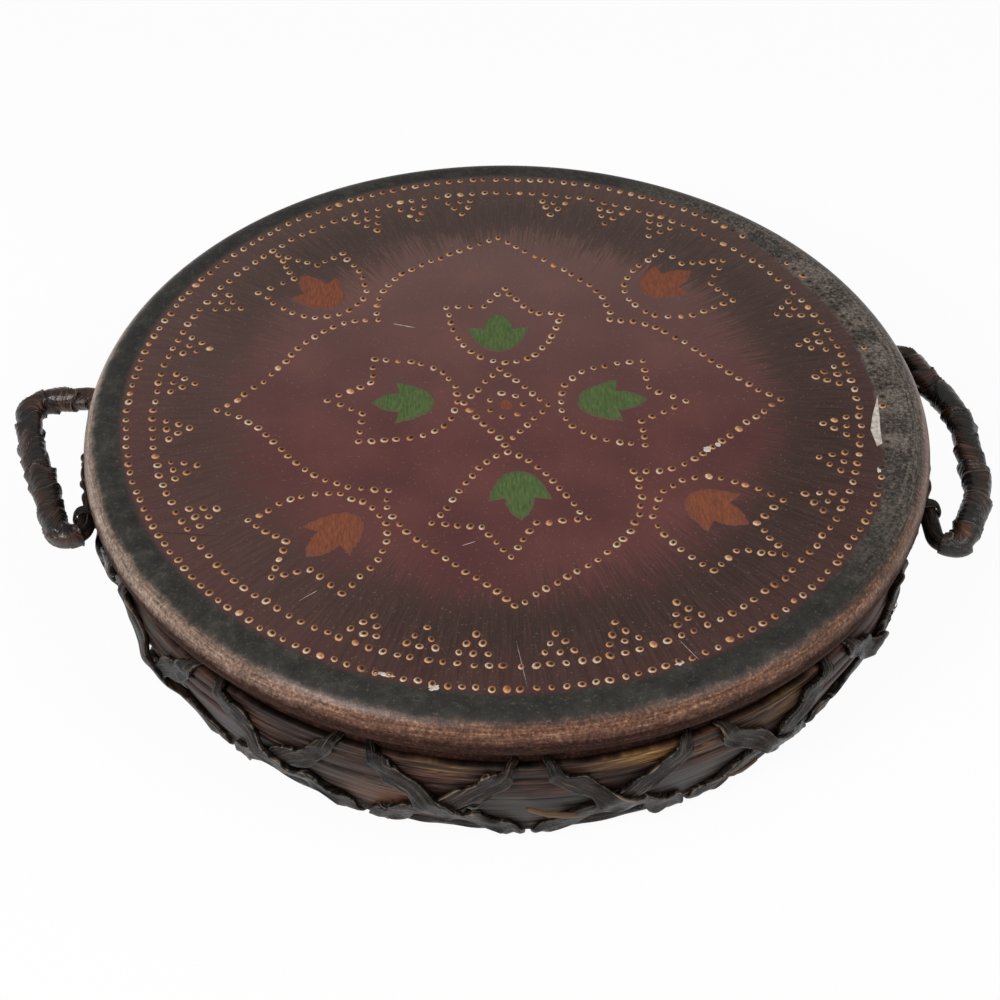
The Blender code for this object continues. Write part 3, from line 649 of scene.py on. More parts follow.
def weathered_wood():
    """Bent softwood board, stained grey-brown with age: fine grain round the drum, reddish in patches."""
    made, tree, shader = finish_base("weathered_bent_wood", Roughness=0.55, Specular_IOR_Level=0.2)
    place = add(tree, "ShaderNodeTexCoord").outputs["Object"]
    # grain runs round the drum, so only the height and slow changes along the wall count
    drawn = add(tree, "ShaderNodeMapping",
                {"Vector": place, "Scale": (1 / (40 * MM), 1 / (40 * MM), 1 / (1.5 * MM))}).outputs[0]
    grain = add(tree, "ShaderNodeTexNoise", {"Vector": drawn, "Scale": 1.0, "Detail": 5.0,
                                             "Roughness": 0.6}).outputs["Fac"]
    grey = add(tree, "ShaderNodeValToRGB", {"Fac": grain},
               stops=[(0.38, "#211d1b"), (0.66, "#534d48"), (0.50, "#35302d")]).outputs[0]
    rust = add(tree, "ShaderNodeValToRGB", {"Fac": grain},
               stops=[(0.38, "#29160d"), (0.66, "#8a5a3e"), (0.50, "#563421")]).outputs[0]
    red = add(tree, "ShaderNodeAttribute", attribute_name="red").outputs["Fac"]
    tinted = add(tree, "ShaderNodeMix", {0: red, 6: grey, 7: rust}, data_type="RGBA").outputs[2]
    tree.links.new(tinted, shader.inputs["Base Color"])
    bump = add(tree, "ShaderNodeBump", {"Height": grain, "Strength": 0.35, "Distance": 0.4 * MM}).outputs[0]
    tree.links.new(bump, shader.inputs["Normal"])
    return made


def wound_leather():
    """Dark leather strip wound wet on the handles: dry and fibrous, rubbed shiny, pale on cut edges, with a
    painted shade in the crevice under each lapping turn.
    """
    made, tree, shader = finish_base("wound_leather_strip", Specular_IOR_Level=0.5)
    run = add(tree, "ShaderNodeTexCoord").outputs["UV"]
    # fibres run along the strip, up to 0.8 mm wide and 16 mm long
    drawn = add(tree, "ShaderNodeMapping",
                {"Vector": run, "Scale": (1 / (0.8 * MM), 1 / (16 * MM), 1.0)}).outputs[0]
    fibre = add(tree, "ShaderNodeTexNoise", {"Vector": drawn, "Scale": 1.0, "Detail": 5.0,
                                             "Roughness": 0.65}).outputs["Fac"]
    tone = add(tree, "ShaderNodeAttribute", attribute_name="tone").outputs["Fac"]
    edge = add(tree, "ShaderNodeAttribute", attribute_name="edge").outputs["Fac"]
    dark = add(tree, "ShaderNodeValToRGB", {"Fac": fibre},
               stops=[(0.30, "#0e0b0a"), (0.74, "#383029"), (0.52, "#1b1613")]).outputs[0]
    tan = add(tree, "ShaderNodeValToRGB", {"Fac": fibre},
              stops=[(0.34, "#1f110b"), (0.72, "#87583d"), (0.52, "#43281b")]).outputs[0]
    body = add(tree, "ShaderNodeMix", {0: tone, 6: dark, 7: tan}, data_type="RGBA").outputs[2]
    worn = add(tree, "ShaderNodeMath", {0: fibre, 1: edge}, operation="MULTIPLY").outputs[0]
    pale = add(tree, "ShaderNodeMapRange",
               {"Value": worn, "From Min": 0.34, "From Max": 0.66, "To Max": 0.7}).outputs[0]
    edged = add(tree, "ShaderNodeMix", {0: pale, 6: body, 7: linear("#8f7c6a")},
                data_type="RGBA").outputs[2]
    # a negative edge mark paints the crevice under the next turn near black, a painted shade
    crevice_shade = add(tree, "ShaderNodeMapRange",
                 {"Value": edge, "From Min": 0.0, "From Max": -1.0, "To Max": 0.85}).outputs[0]
    crevice_shaded = add(tree, "ShaderNodeMix", {0: crevice_shade, 6: edged, 7: linear("#060404")},
               data_type="RGBA").outputs[2]
    tree.links.new(crevice_shaded, shader.inputs["Base Color"])
    rough = add(tree, "ShaderNodeMapRange", {"Value": fibre, "From Min": 0.4, "From Max": 0.62,
                                             "To Min": 0.24, "To Max": 0.42}).outputs[0]
    tree.links.new(rough, shader.inputs["Roughness"])
    # wrinkles of about 3 mm
    wrinkle = add(tree, "ShaderNodeTexNoise", {"Vector": run, "Scale": 1 / (3.2 * MM), "Detail": 3.0,
                                               "Roughness": 0.6}).outputs["Fac"]
    puckered = add(tree, "ShaderNodeMath", {0: wrinkle, 1: 3.0, 2: fibre},
                   operation="MULTIPLY_ADD").outputs[0]
    bump = add(tree, "ShaderNodeBump",
               {"Height": puckered, "Strength": 0.4, "Distance": 0.5 * MM}).outputs[0]
    tree.links.new(bump, shader.inputs["Normal"])
    return made


# The head

relief = swell(3, 0.11)
RELIEF_SIZE = 0.12 * MM
ROLL_WAVE = 0.35 * MM
# these turn marks give the hollow and the inside the roll's dark painted shade
HOLLOW_TURN = 150.0          # turn marks past the roll, in the hollow and on the inside
INSIDE_TURN = 170.0


def head_level(x, y):
    """Height of the playing face, which is not quite flat: long low waves that die out at the roll."""
    fade = np.clip(1.0 - (np.hypot(x, y) / ROLL_RADIUS) ** 4, 0.0, 1.0)
    return HEIGHT + RELIEF_SIZE * relief(x, y) * fade


def make_head(finish):
    """The hide as one turned shell: face, rolled edge, hollow and skirt, and back along its inside.

    The profile is a row of radii on the face, an arc for the roll, a quadratic curve for the hollow
    and a straight skirt; the inside repeats it one thickness in. The roll waves a little round the drum.
    """
    face = np.linspace(0.0, ROLL_RADIUS, 44)[1:]
    arc = np.radians(np.linspace(90.0, ROLL_END, 34)[1:])
    outer_roll = np.stack([ROLL_RADIUS + ROLL * np.cos(arc), ROLL_LEVEL + ROLL * np.sin(arc)], axis=1)
    start = outer_roll[-1]
    end = np.array([SKIRT_OUTER, HOLE_LEVEL + LACE_CORD])
    control = np.array([SKIRT_OUTER, start[1] - (start[1] - end[1]) / 3])
    t = np.linspace(0.0, 1.0, 9)[1:, None]
    hollow = (1 - t) ** 2 * start + 2 * t * (1 - t) * control + t ** 2 * end
    hem = BAND_BOTTOM + SKIRT_TUCK
    inner_roll = np.stack([ROLL_RADIUS + (ROLL - SKIN) * np.cos(arc),
                           ROLL_LEVEL + (ROLL - SKIN) * np.sin(arc)], axis=1)
    inner_hollow = hollow - np.array([SKIN, 0.0])
    inner_face = face[::-4]
    profile = np.concatenate([
        np.stack([face, np.full_like(face, HEIGHT)], axis=1), outer_roll, hollow,
        [[SKIRT_OUTER, hem], [SKIRT_INNER, hem]], inner_hollow[::-1], inner_roll[::-2],
        np.stack([inner_face, np.full_like(inner_face, HEIGHT - SKIN)], axis=1)])
    turn = np.concatenate([np.zeros_like(face), 90.0 - np.degrees(arc), np.full(len(hollow), HOLLOW_TURN),
                           [HOLLOW_TURN, INSIDE_TURN], np.full(len(hollow), INSIDE_TURN),
                           np.full(len(inner_roll[::2]), INSIDE_TURN),
                           np.full_like(inner_face, INSIDE_TURN)])
    azimuths = around(448)
    grid = turned(profile, azimuths)
    on_face = len(face)
    grid[:on_face, :, 2] = head_level(grid[:on_face, :, 0], grid[:on_face, :, 1])
    wave = ROLL_WAVE * ripple(5, 2, 9)(azimuths)
    on_roll = slice(on_face, on_face + len(outer_roll))
    weight = np.sin(np.linspace(0.0, np.pi, len(outer_roll)))[:, None]
    grid[on_roll, :, 2] += weight * wave
    marks = {"turn": turn[:, None] * np.ones(len(azimuths))}
    return skin("painted_hide_head", grid, finish, marks=marks)


def even_dots(path, spacing=DOT_SPACING):
    """Points spaced evenly along a line of points, both ends kept."""
    step = np.linalg.norm(np.diff(path, axis=0), axis=1)
    travel = np.concatenate([[0.0], np.cumsum(step)])
    count = max(1, round(travel[-1] / spacing))
    where = np.linspace(0.0, travel[-1], count + 1)
    return np.stack([np.interp(where, travel, path[:, k]) for k in (0, 1)], axis=1)


def tulip_paths(base, tip, shoulders, notches, fullness):
    """A tulip in four lines: two sides from the base out to the shoulders, and two halves of its crown.

    Each side is a cubic curve that leaves the base square to the flower's axis. Fullness 1 brings it
    to the shoulder along the axis, like a bowl; less makes it flare like a bell.
    """
    base, tip = np.array(base, float), np.array(tip, float)
    axis = unit(tip - base)
    paths = []
    for shoulder, notch in zip(np.array(shoulders, float), np.array(notches, float)):
        along = (shoulder - base) @ axis
        across = (shoulder - base) - along * axis
        control = shoulder - 0.62 * fullness * along * axis - 0.5 * (1 - fullness) * across
        paths.append(bezier(base, base + 0.85 * fullness * across, control, shoulder))
        paths.append(np.array([shoulder, notch, tip]))
    return paths


# Each flower: base, tip, two shoulders and two notches of its dotted outline, and its fullness
GREEN_TULIPS = (
    ((5, 30), (8, 89), ((-23, 75), (36, 67)), ((-4, 75), (20, 70)), 0.75),
    ((-20, 1), (-83, 5), ((-60, 35), (-68, -25)), ((-62, 17), (-66, -5)), 0.95),
    ((31, -1), (92, -4), ((74, 28), (69, -34)), ((75, 8), (69, -17)), 0.85),
    ((3, -36), (1, -105), ((-34, -82), (38, -82)), ((-11, -86), (14, -84)), 0.42))
OCHRE_TULIPS = (
    ((-73, 75), (-110, 123), ((-120, 91), (-77, 122)), ((-102, 102), (-90, 113)), 0.9),
    ((75, 72), (125, 108), ((94, 118), (126, 75)), ((103, 106), (116, 89)), 0.9),
    ((-62, -71), (-107, -113), ((-119, -77), (-75, -124)), ((-101, -91), (-90, -109)), 0.9),
    ((75, -66), (125, -109), ((129, -74), (91, -118)), ((115, -89), (103, -106)), 0.9))
# Each painted flower: centre, direction of its tip in degrees, half width and length
GREEN_PAINT = (((3, 54), 88, 16.5, 31), ((-46, 2), 178, 15.5, 31), ((56, -1), 1, 16.0, 35),
               ((7, -65), -90, 15.5, 33))
OCHRE_PAINT = (((-89, 91), 124, 15.0, 33), ((93, 91), 33, 15.0, 32), ((-80, -88), -131, 15.0, 35),
               ((98, -79), -38, 15.5, 33))
# The quatrefoil: tips and the cusps between them, in order, with the two control points of each side
QUATREFOIL = (
    ((7, 133), (30, 108), (66, 92), (60, 61)), ((60, 61), (95, 62), (110, 14), (139, -4)),
    ((139, -4), (108, -28), (88, -58), (62, -51)), ((62, -51), (72, -94), (40, -108), (1, -136)),
    ((1, -136), (-18, -108), (-62, -88), (-54, -59)), ((-54, -59), (-106, -59), (-104, -8), (-137, 0)),
    ((-137, 0), (-100, 26), (-98, 71), (-58, 66)), ((-58, 66), (-62, 104), (-36, 110), (7, 133)))
DIAMOND = ((2, 25), (25, -3), (2, -31), (-17, 0))
EYE_CENTRE = (4, -2)
EYE_RADIUS = 8.5
EYE_DOTS = 7
# Azimuths of the small triangles of dots inside the rings, in four groups
TRIANGLES = (-28, -18, -9, 4, 13, 23, 57, 67, 78, 96, 105, 114,
             150, 163, 173, 185, 195, 207, 245, 254, 262, 275, 285, 296)
TRIANGLE_RADII = (165.5, 159.8, 154.2)


def dot_places():
    """Every punched dot, in millimetres: two rings, quatrefoil, flowers, diamond, eye and triangles."""
    centre = np.array(RING_CENTRE)
    parts = []
    for radius, count in zip(RING_RADII, RING_COUNTS):
        turn = around(count)
        parts.append(centre + radius * np.stack([np.cos(turn), np.sin(turn)], axis=1))
    for side in QUATREFOIL:
        parts.append(even_dots(bezier(*side))[:-1])
    for flower in (*GREEN_TULIPS, *OCHRE_TULIPS):
        left, left_crown, right, right_crown = tulip_paths(*flower)
        parts.append(even_dots(left))
        parts.append(even_dots(right)[1:])
        for crown, keep_tip in ((left_crown, True), (right_crown, False)):
            parts.append(even_dots(crown[:2])[1:])
            rise = even_dots(crown[1:])[1:]
            parts.append(rise if keep_tip else rise[:-1])
    for here, there in zip(DIAMOND, DIAMOND[1:] + DIAMOND[:1]):
        parts.append(even_dots(np.array([here, there], float), WIDE_SPACING)[:-1])
    turn = around(EYE_DOTS)
    parts.append(np.array(EYE_CENTRE) + EYE_RADIUS * np.stack([np.cos(turn), np.sin(turn)], axis=1))
    for azimuth in np.radians(TRIANGLES):
        out = np.array([np.cos(azimuth), np.sin(azimuth)])
        side = np.array([-out[1], out[0]])
        for row, radius in enumerate(TRIANGLE_RADII):
            steps = np.arange(3 - row) - (2 - row) / 2
            parts.append(centre + radius * out + WIDE_SPACING * steps[:, None] * side)
    return np.concatenate(parts)


def on_head(plan):
    """Points of the ornament's plan, in millimetres, as metres on the drum."""
    return (plan + PLAN_SHIFT) * MM


def make_dots(finish):
    """All punched dots in one mesh: each is a low turned lip round a hole set off its centre, whose shallow
    floor is painted dark, a painted shade for the hole's depth.

    The profile runs from the hole's floor up over the lip and down under the face; each dot has its
    own radius, hole offset and tone.
    """
    rng = np.random.default_rng(11)
    places = dot_places()
    count = len(places)
    places = places + rng.normal(0.0, DOT_STRAY, (count, 2))
    radius = DOT_RADIUS * rng.uniform(0.80, 1.10, count)
    sides = 11
    turn = around(sides)
    # rows of the lip: share of the radius, height in millimetres, and how far each follows the hole
    reach = np.array([0.28, 0.41, 0.80, 1.06])[:, None]
    height = np.array([0.05, 0.22, 0.24, -0.10])[:, None]
    weight = np.array([1.0, 0.9, 0.35, 0.0])[:, None]
    # the punch leans, so most holes sit towards the back right of their lip
    lean = rng.normal(0.8, 0.8, count)
    shift = 0.24 * rng.random(count)
    oval = 1.0 + 0.10 * np.sin(2 * turn + rng.uniform(0, 2 * np.pi, (count, 1)))
    spot = np.stack([np.cos(turn), np.sin(turn)], axis=-1) * (reach * oval[:, None, :])[..., None]
    off = shift[:, None] * np.stack([np.cos(lean), np.sin(lean)], axis=-1)
    spot = spot + off[:, None, None, :] * weight[..., None]
    spot = on_head(places[:, None, None, :] + radius[:, None, None, None] * spot)
    grids = np.concatenate([spot, (head_level(spot[..., 0], spot[..., 1]) + height * MM)[..., None]],
                           axis=-1)
    points, quads, triangles = stack_tubes(grids)
    # hole marks the floor and wall of each hole for its dark painted shade
    hole = np.broadcast_to(np.array([1.0, 0.85, 0.0, 0.0])[:, None], (count, 4, sides)).copy()
    hole[rng.random(count) < 0.05] *= 0.2
    # each lip is painted lighter on its front-left side, a painted highlight, on top of its own tone from dot
    # to dot; charcoal hides those under the border at the right
    tone = np.clip(rng.normal(0.52, 0.17, count), 0.15, 0.90)
    tone[rng.random(count) < 0.005] = 1.0
    lip_tone_and_highlight = tone[:, None, None] + 0.34 * np.cos(turn + 0.75 * np.pi)
    lip_tone_and_highlight = lip_tone_and_highlight * np.array([1.0, 1.0, 1.0, 0.35])[:, None]
    out = np.hypot(*(places - RING_CENTRE).T)
    where = np.degrees(np.arctan2(*(places - RING_CENTRE).T[::-1]))
    covered = (out > 180.0) & (where > -22) & (where < 46) & (rng.random(count) < 0.85)
    lip_tone_and_highlight = np.where(covered[:, None, None], 0.0, np.clip(lip_tone_and_highlight, 0.10, 1.0))
    marks = {"tone": stack_marks(np.broadcast_to(lip_tone_and_highlight, hole.shape)), "hole": stack_marks(hole)}
    return build("punched_dots", points, quads, triangles, finish, marks)


def flower_outline(centre, heading, half_width, length):
    """Closed outline of a painted tulip, as a radius for each of many even angles round its centre.

    Round at the base, widening to two shoulders, with a pointed crown: the same lines as the dotted
    tulips, read off by angle.
    """
    foot = np.array([-0.50 * length, 0.0])
    tip = np.array([0.52 * length, 0.0])
    shoulders = ((0.14 * length, half_width), (0.14 * length, -half_width))
    notches = ((0.07 * length, 0.46 * half_width), (0.07 * length, -0.46 * half_width))
    left, left_crown, right, right_crown = tulip_paths(foot, tip, shoulders, notches, 0.72)
    lobes = []
    for shoulder, notch, end in (left_crown, right_crown):
        bulge = notch + np.array([0.30 * length, 0.05 * notch[1]])
        lobes.append(np.concatenate([bezier(shoulder, shoulder, notch, notch),
                                     bezier(notch, bulge, end, end)]))
    loop = np.concatenate([left, lobes[0], lobes[1][::-1], right[::-1]])
    angle = np.arctan2(loop[:, 1], loop[:, 0])
    order = np.argsort(angle)
    even = around(OUTLINE_POINTS) - np.pi
    radius = np.interp(even, angle[order], np.hypot(*loop.T)[order], period=2 * np.pi)
    place = np.array(centre)[None, :] + radius[:, None] * np.stack(
        [np.cos(even + math.radians(heading)), np.sin(even + math.radians(heading))], axis=1)
    return place


def thin_patches(name, outlines, finish, thick=0.10):
    """Thin skins of paint on the head: each outline drawn in to its middle, lens-shaped in section.

    Rows run from the middle out over the top to the edge and back under it to the middle. The hole
    mark lets the lips' finish paint a whole patch in the holes' dark painted shade, for the shade in a crack.
    """
    share = np.array([0.04, 0.3, 0.55, 0.75, 0.88, 0.96, 1.0, 0.9, 0.04])
    rise = np.array([1.0, 1.0, 1.0, 1.0, 0.9, 0.6, -0.3, -0.6, -0.6]) * thick * MM
    rim = np.array([0.0, 0.3, 0.55, 0.75, 0.88, 0.96, 1.0, 1.0, 1.0])
    grids = []
    for outline in outlines:
        middle = outline.mean(axis=0)
        spot = on_head(middle + share[:, None, None] * (outline - middle))
        level = head_level(spot[..., 0], spot[..., 1]) + rise[:, None]
        grids.append(np.concatenate([spot, level[..., None]], axis=-1))
    grids = np.stack(grids)
    points, quads, triangles = stack_tubes(grids)
    shape = grids.shape[:3]
    marks = {"rim": stack_marks(np.broadcast_to(rim[:, None], shape)), "hole": stack_marks(np.ones(shape))}
    return build(name, points, quads, triangles, finish, marks)


def blob(centre, radius, seed, stretch=1.0, heading=0.0):
    """An uneven closed outline round a centre, drawn out along a heading in degrees."""
    turn = around(OUTLINE_POINTS)
    size = radius * (1.0 + 0.16 * ripple(seed, 2, 7)(turn))
    lean = math.radians(heading)
    along = stretch * size * np.cos(turn)
    across = size * np.sin(turn)
    return np.array(centre) + np.stack([along * np.cos(lean) - across * np.sin(lean),
                                        along * np.sin(lean) + across * np.cos(lean)], axis=1)


# Outline of the large peeled patch near the right edge
PEEL = ((187, -3), (186, -13), (184, -27), (183, -38), (180, -40), (179, -28), (182, -17), (185, -9))
# Flakes and pale scratches: centre, radius, seed, how far drawn out, heading in degrees
FLAKES = (((-57, -172.5), 0.9, 92, 5.0, -15), ((98.5, -38), 2.0, 93, 1.0, 0), ((104, -35), 1.4, 94, 1.0, 0),
          ((-36, -181), 1.5, 95, 1.6, 10), ((70, -172), 1.0, 96, 2.2, 25), ((178, -56), 1.0, 97, 2.0, 80),
          ((-45, 61), 0.16, 98, 38.0, -18), ((-18, -96), 0.13, 99, 24.0, 21),
          ((2, -169), 0.08, 100, 150.0, -83), ((75, -165), 0.08, 101, 80.0, -58),
          ((-90, -125), 0.10, 102, 48.0, 36))
CRACK = ((-147, -84), 0.14, 104, 110.0, -8)


def drawn(corners):
    """A closed outline of even points along straight lines between corners."""
    loop = np.array([*corners, corners[0]], float)
    travel = np.concatenate([[0.0], np.cumsum(np.linalg.norm(np.diff(loop, axis=0), axis=1))])
    where = travel[-1] * np.arange(OUTLINE_POINTS) / OUTLINE_POINTS
    return np.stack([np.interp(where, travel, loop[:, k]) for k in (0, 1)], axis=1)


def roughened(outline, seed, size):
    """An outline with a brush's uneven edge."""
    turn = around(len(outline))
    middle = outline.mean(axis=0)
    return middle + (outline - middle) * (1.0 + size * ripple(seed, 3, 30)(turn))[:, None]


# Side of the drum

def make_shell(finish):
    """The tapered wall, turned from a closed profile with eased edges."""
    foot = shell_radius(0.0)
    ease = SHELL_WALL / 5
    profile = []
    levels = np.linspace(SHELL_TOP - ease, ease, 14)
    profile.append([[SHELL_TOP_RADIUS - ease, SHELL_TOP]])
    profile.append(np.stack([shell_radius(levels), levels], axis=1))
    profile.append([[foot - 0.3 * ease, 0.0], [foot - SHELL_WALL + 0.3 * ease, 0.0]])
    profile.append(np.stack([shell_radius(levels[::-1]) - SHELL_WALL, levels[::-1]], axis=1))
    profile.append([[SHELL_TOP_RADIUS - SHELL_WALL + ease, SHELL_TOP]])
    profile = np.concatenate(profile)
    azimuths = around(288)
    grid = turned(profile, azimuths)
    marks = {"red": np.zeros(grid.shape[:2])}
    return skin("bent_wood_shell", grid, finish, ring=True, marks=marks)


def make_band(finish):
    """Three overlapping splints round the skirt: a closed profile whose outer side has two wavy laps.

    Each splint is crowned, and its fibres stand a little proud; the laps move up and down round the drum.
    """
    azimuths = around(640)
    v = np.linspace(0.0, 1.0, 46)[:, None]
    laps = (0.36 + 0.10 * ripple(21, 3, 14)(azimuths), 0.70 + 0.08 * ripple(22, 3, 14)(azimuths))
    edges = [np.zeros_like(azimuths), laps[0], laps[1], np.ones_like(azimuths)]
    depth = np.zeros((len(v), len(azimuths)))
    seam = np.zeros_like(depth)
    which = np.zeros_like(depth)
    for k in range(3):
        inside = (v >= edges[k]) & (v <= edges[k + 1])
        local = np.clip((v - edges[k]) / (edges[k + 1] - edges[k]), 0.0, 1.0)
        crown = 0.9 * MM * np.abs(2 * local - 1) ** 2.6 + 0.5 * MM * (1 - local) * (k > 0)
        depth = np.where(inside, crown, depth)
        seam = np.where(inside, np.clip(1.0 - local / 0.10, 0.0, 1.0) * (k > 0), seam)
        which = np.where(inside, k, which)
    comb = np.sin(60 * v + 2.5 * ripple(23, 2, 10)(azimuths))
    fibres = 0.12 * MM * comb * (0.5 + 0.5 * np.sin(3 * azimuths))
    bow = 1.0 * MM * (2 * v - 1) ** 2
    radius = BAND_OUTER - 0.15 * MM - depth - bow - np.abs(fibres)
    level = BAND_BOTTOM + (BAND_TOP - BAND_BOTTOM) * v * np.ones_like(azimuths)
    back = np.array([1.0, 0.5, 0.0])[:, None] * np.ones_like(azimuths)
    outer = np.stack([radius, level], axis=-1)
    inner = np.stack([np.full_like(back, BAND_INNER), BAND_BOTTOM + (BAND_TOP - BAND_BOTTOM) * back],
                     axis=-1)
    grid = turned(np.concatenate([outer, inner]), azimuths)
    gold = 0.95 * near(azimuths, -76, 5.5) * (which == 2) + 0.45 * near(azimuths, -101, 3.0) * (which == 2)
    gold = gold + 0.5 * near(azimuths, -56, 4.0) * (which > 0)
    gold = gold + 0.35 * near(azimuths, -68, 3.0) * (which == 1)
    red = np.clip(0.45 + 0.5 * ripple(24, 3, 16)(azimuths) + 0.15 * (which == 1), 0.0, 1.0)
    red = np.maximum(red, 0.95 * near(azimuths, -88, 4.0) * (which < 2))
    wide = np.zeros_like(back)
    marks = {"gold": np.concatenate([gold, wide]), "red": np.concatenate([red * np.ones_like(gold), wide]),
             "seam": np.concatenate([seam, wide])}
    along = azimuths * BAND_OUTER * np.ones_like(gold)
    uv = np.stack([np.concatenate([along, along[:3]]), np.concatenate([level, inner[..., 1]])], axis=-1)
    return skin("split_cane_band", grid, finish, ring=True, marks=marks, uv=uv)


def make_lower_hoop(finish):
    """The foot hoop, a ring of uneven round section with shallow flats where strips lie round it."""
    azimuths = around(720)
    turn = around(18)[:, None]
    wind = np.sin(46 * azimuths + 1.6 * turn + 3.0 * ripple(31, 2, 9)(azimuths))
    swollen = 0.35 * MM * np.maximum(wind, -0.3) + 0.25 * MM * ripple(32, 5, 40)(azimuths)
    section = HOOP_SECTION + 0.7 * MM + np.clip(swollen, -0.6 * MM, 0.35 * MM)
    radius = HOOP_RADIUS + section * np.cos(turn)
    level = HOOP_LEVEL + section * np.sin(turn)
    grid = turned(np.stack([radius, level], axis=-1), azimuths)
    tone = np.clip(0.35 + 0.5 * ripple(33, 3, 30)(azimuths), 0.0, 1.0) * np.ones_like(turn)
    edge = np.clip(1.0 - np.abs(wind + 0.25) / 0.35, 0.0, 1.0)
    uv = np.stack([turn * HOOP_SECTION * np.ones_like(azimuths),
                   azimuths * HOOP_RADIUS * np.ones_like(turn)], axis=-1)
    return skin("lower_hoop_ring", grid, finish, ring=True, marks={"tone": tone, "edge": 0.7 * edge}, uv=uv)


def leg_radius(level):
    """Radius of a leg's middle: upright on the band, then in a straight line to the lower hoop."""
    below = max(0.0, (BAND_BOTTOM - level) / (BAND_BOTTOM - HOOP_LEVEL))
    return LACE_RADIUS + (HOOP_RADIUS + TURN_RADIUS - LACE_RADIUS) * min(1.0, below)


def leg_rows(side, over):
    """One leg of a thong from the middle of its apex to its tucked end.

    Each row is (azimuth from the apex in degrees, radius, level, tilt of its face from outward towards
    up in degrees, width, thickness). A leg that passes over is lifted where the two cross.
    """
    top = BAND_TOP - LACE_THICK
    rise = LACE_CLEAR + LACE_THICK / 2
    rows = [
        (0.65 * HOLE_AZIMUTH, BIGHT_RADIUS + 0.1 * LACE_CORD, HOLE_LEVEL, 90, LACE_CORD, LACE_CORD),
        (HOLE_AZIMUTH, SKIRT_INNER, HOLE_LEVEL, 90, LACE_CORD, LACE_CORD),
        (HOLE_AZIMUTH, BAND_INNER + rise, HOLE_LEVEL, 90, 1.1 * LACE_CORD, LACE_CORD),
        (0.6 * HOLE_AZIMUTH + 0.4 * LEG_TOP_AZIMUTH, BAND_OUTER - rise, HOLE_LEVEL, 75,
         1.5 * LACE_CORD, LACE_CORD),
        (0.3 * HOLE_AZIMUTH + 0.7 * LEG_TOP_AZIMUTH, LACE_RADIUS - LACE_CLEAR / 2,
         BAND_TOP + LACE_CLEAR, 35, 0.7 * LACE_WIDTH, 1.1 * LACE_THICK)]
    half_pitch = 180.0 / LACES
    cross = (half_pitch - LEG_TOP_AZIMUTH) / (LEG_END_AZIMUTH - LEG_TOP_AZIMUTH)
    drop = top - HOOP_LEVEL
    length = math.hypot(drop, math.radians(LEG_END_AZIMUTH - LEG_TOP_AZIMUTH) * LACE_RADIUS)
    flat = 0.78 * LACE_WIDTH / length
    ramp = flat + LACE_WIDTH / length
    for t in (0.0, 0.14, cross - ramp, cross - flat, cross, cross + flat, cross + ramp, 0.86, 1.0):
        level = top - drop * t
        radius = leg_radius(level)
        reach = LACE_WIDTH / 3
        slope = (leg_radius(level + reach) - leg_radius(level - reach)) / (2 * reach)
        if over and abs(t - cross) < (flat + ramp) / 2:
            radius += LACE_THICK + CROSS_CLEAR
        azimuth = LEG_TOP_AZIMUTH + (LEG_END_AZIMUTH - LEG_TOP_AZIMUTH) * t
        rows.append((azimuth, radius, level, -math.degrees(math.atan(slope)), LACE_WIDTH, LACE_THICK))
    for k in range(1, 7):
        turn = TUCK_END * k / 6
        eased = math.sin(math.radians(min(90.0, -turn)))
        azimuth = LEG_END_AZIMUTH + LEG_RUN_ON * eased
        rows.append((azimuth, HOOP_RADIUS + TURN_RADIUS * math.cos(math.radians(turn)),
                     HOOP_LEVEL + TURN_RADIUS * math.sin(math.radians(turn)), turn,
                     LACE_WIDTH * (1.0 - 0.05 * k), LACE_THICK))
    return [(side * azimuth, *rest) for azimuth, *rest in rows]


def make_panel(finish):
    """The thin board between band and hoop: a tapered ring of closed profile, waving a little."""
    azimuths = around(360)
    share = np.linspace(0.0, 1.0, 12)
    level = panel_high.z + (panel_low.z - panel_high.z) * share
    foot = leg_radius(panel_low.z) - LACE_THICK / 2 - 2 * LACE_CLEAR
    radius = panel_high.y + (foot - panel_high.y) * share
    profile = np.concatenate([np.stack([radius, level], axis=1),
                              np.stack([radius - PANEL_THICK, level], axis=1)[::-1]])
    grid = turned(profile, azimuths)
    wave = 1.0 - 0.0012 * np.abs(ripple(35, 4, 20)(azimuths))
    grid[..., :2] *= wave[:, None]
    red = near(azimuths, -108, 6.0) + 0.6 * near(azimuths, -35, 5) + 0.5 * near(azimuths, -150, 6)
    marks = {"red": np.broadcast_to(red, grid.shape[:2])}
    return skin("grey_side_board", grid, finish, ring=True, marks=marks)


def strap_section(count):
    """A strap's section as (across from -1 to 1, height from -1 to 1): a flat oval with full edges."""
    turn = around(count)
    across = np.sign(np.cos(turn)) * np.abs(np.cos(turn)) ** 0.45
    height = np.sign(np.sin(turn)) * np.abs(np.sin(turn)) ** 0.75
    return across, height


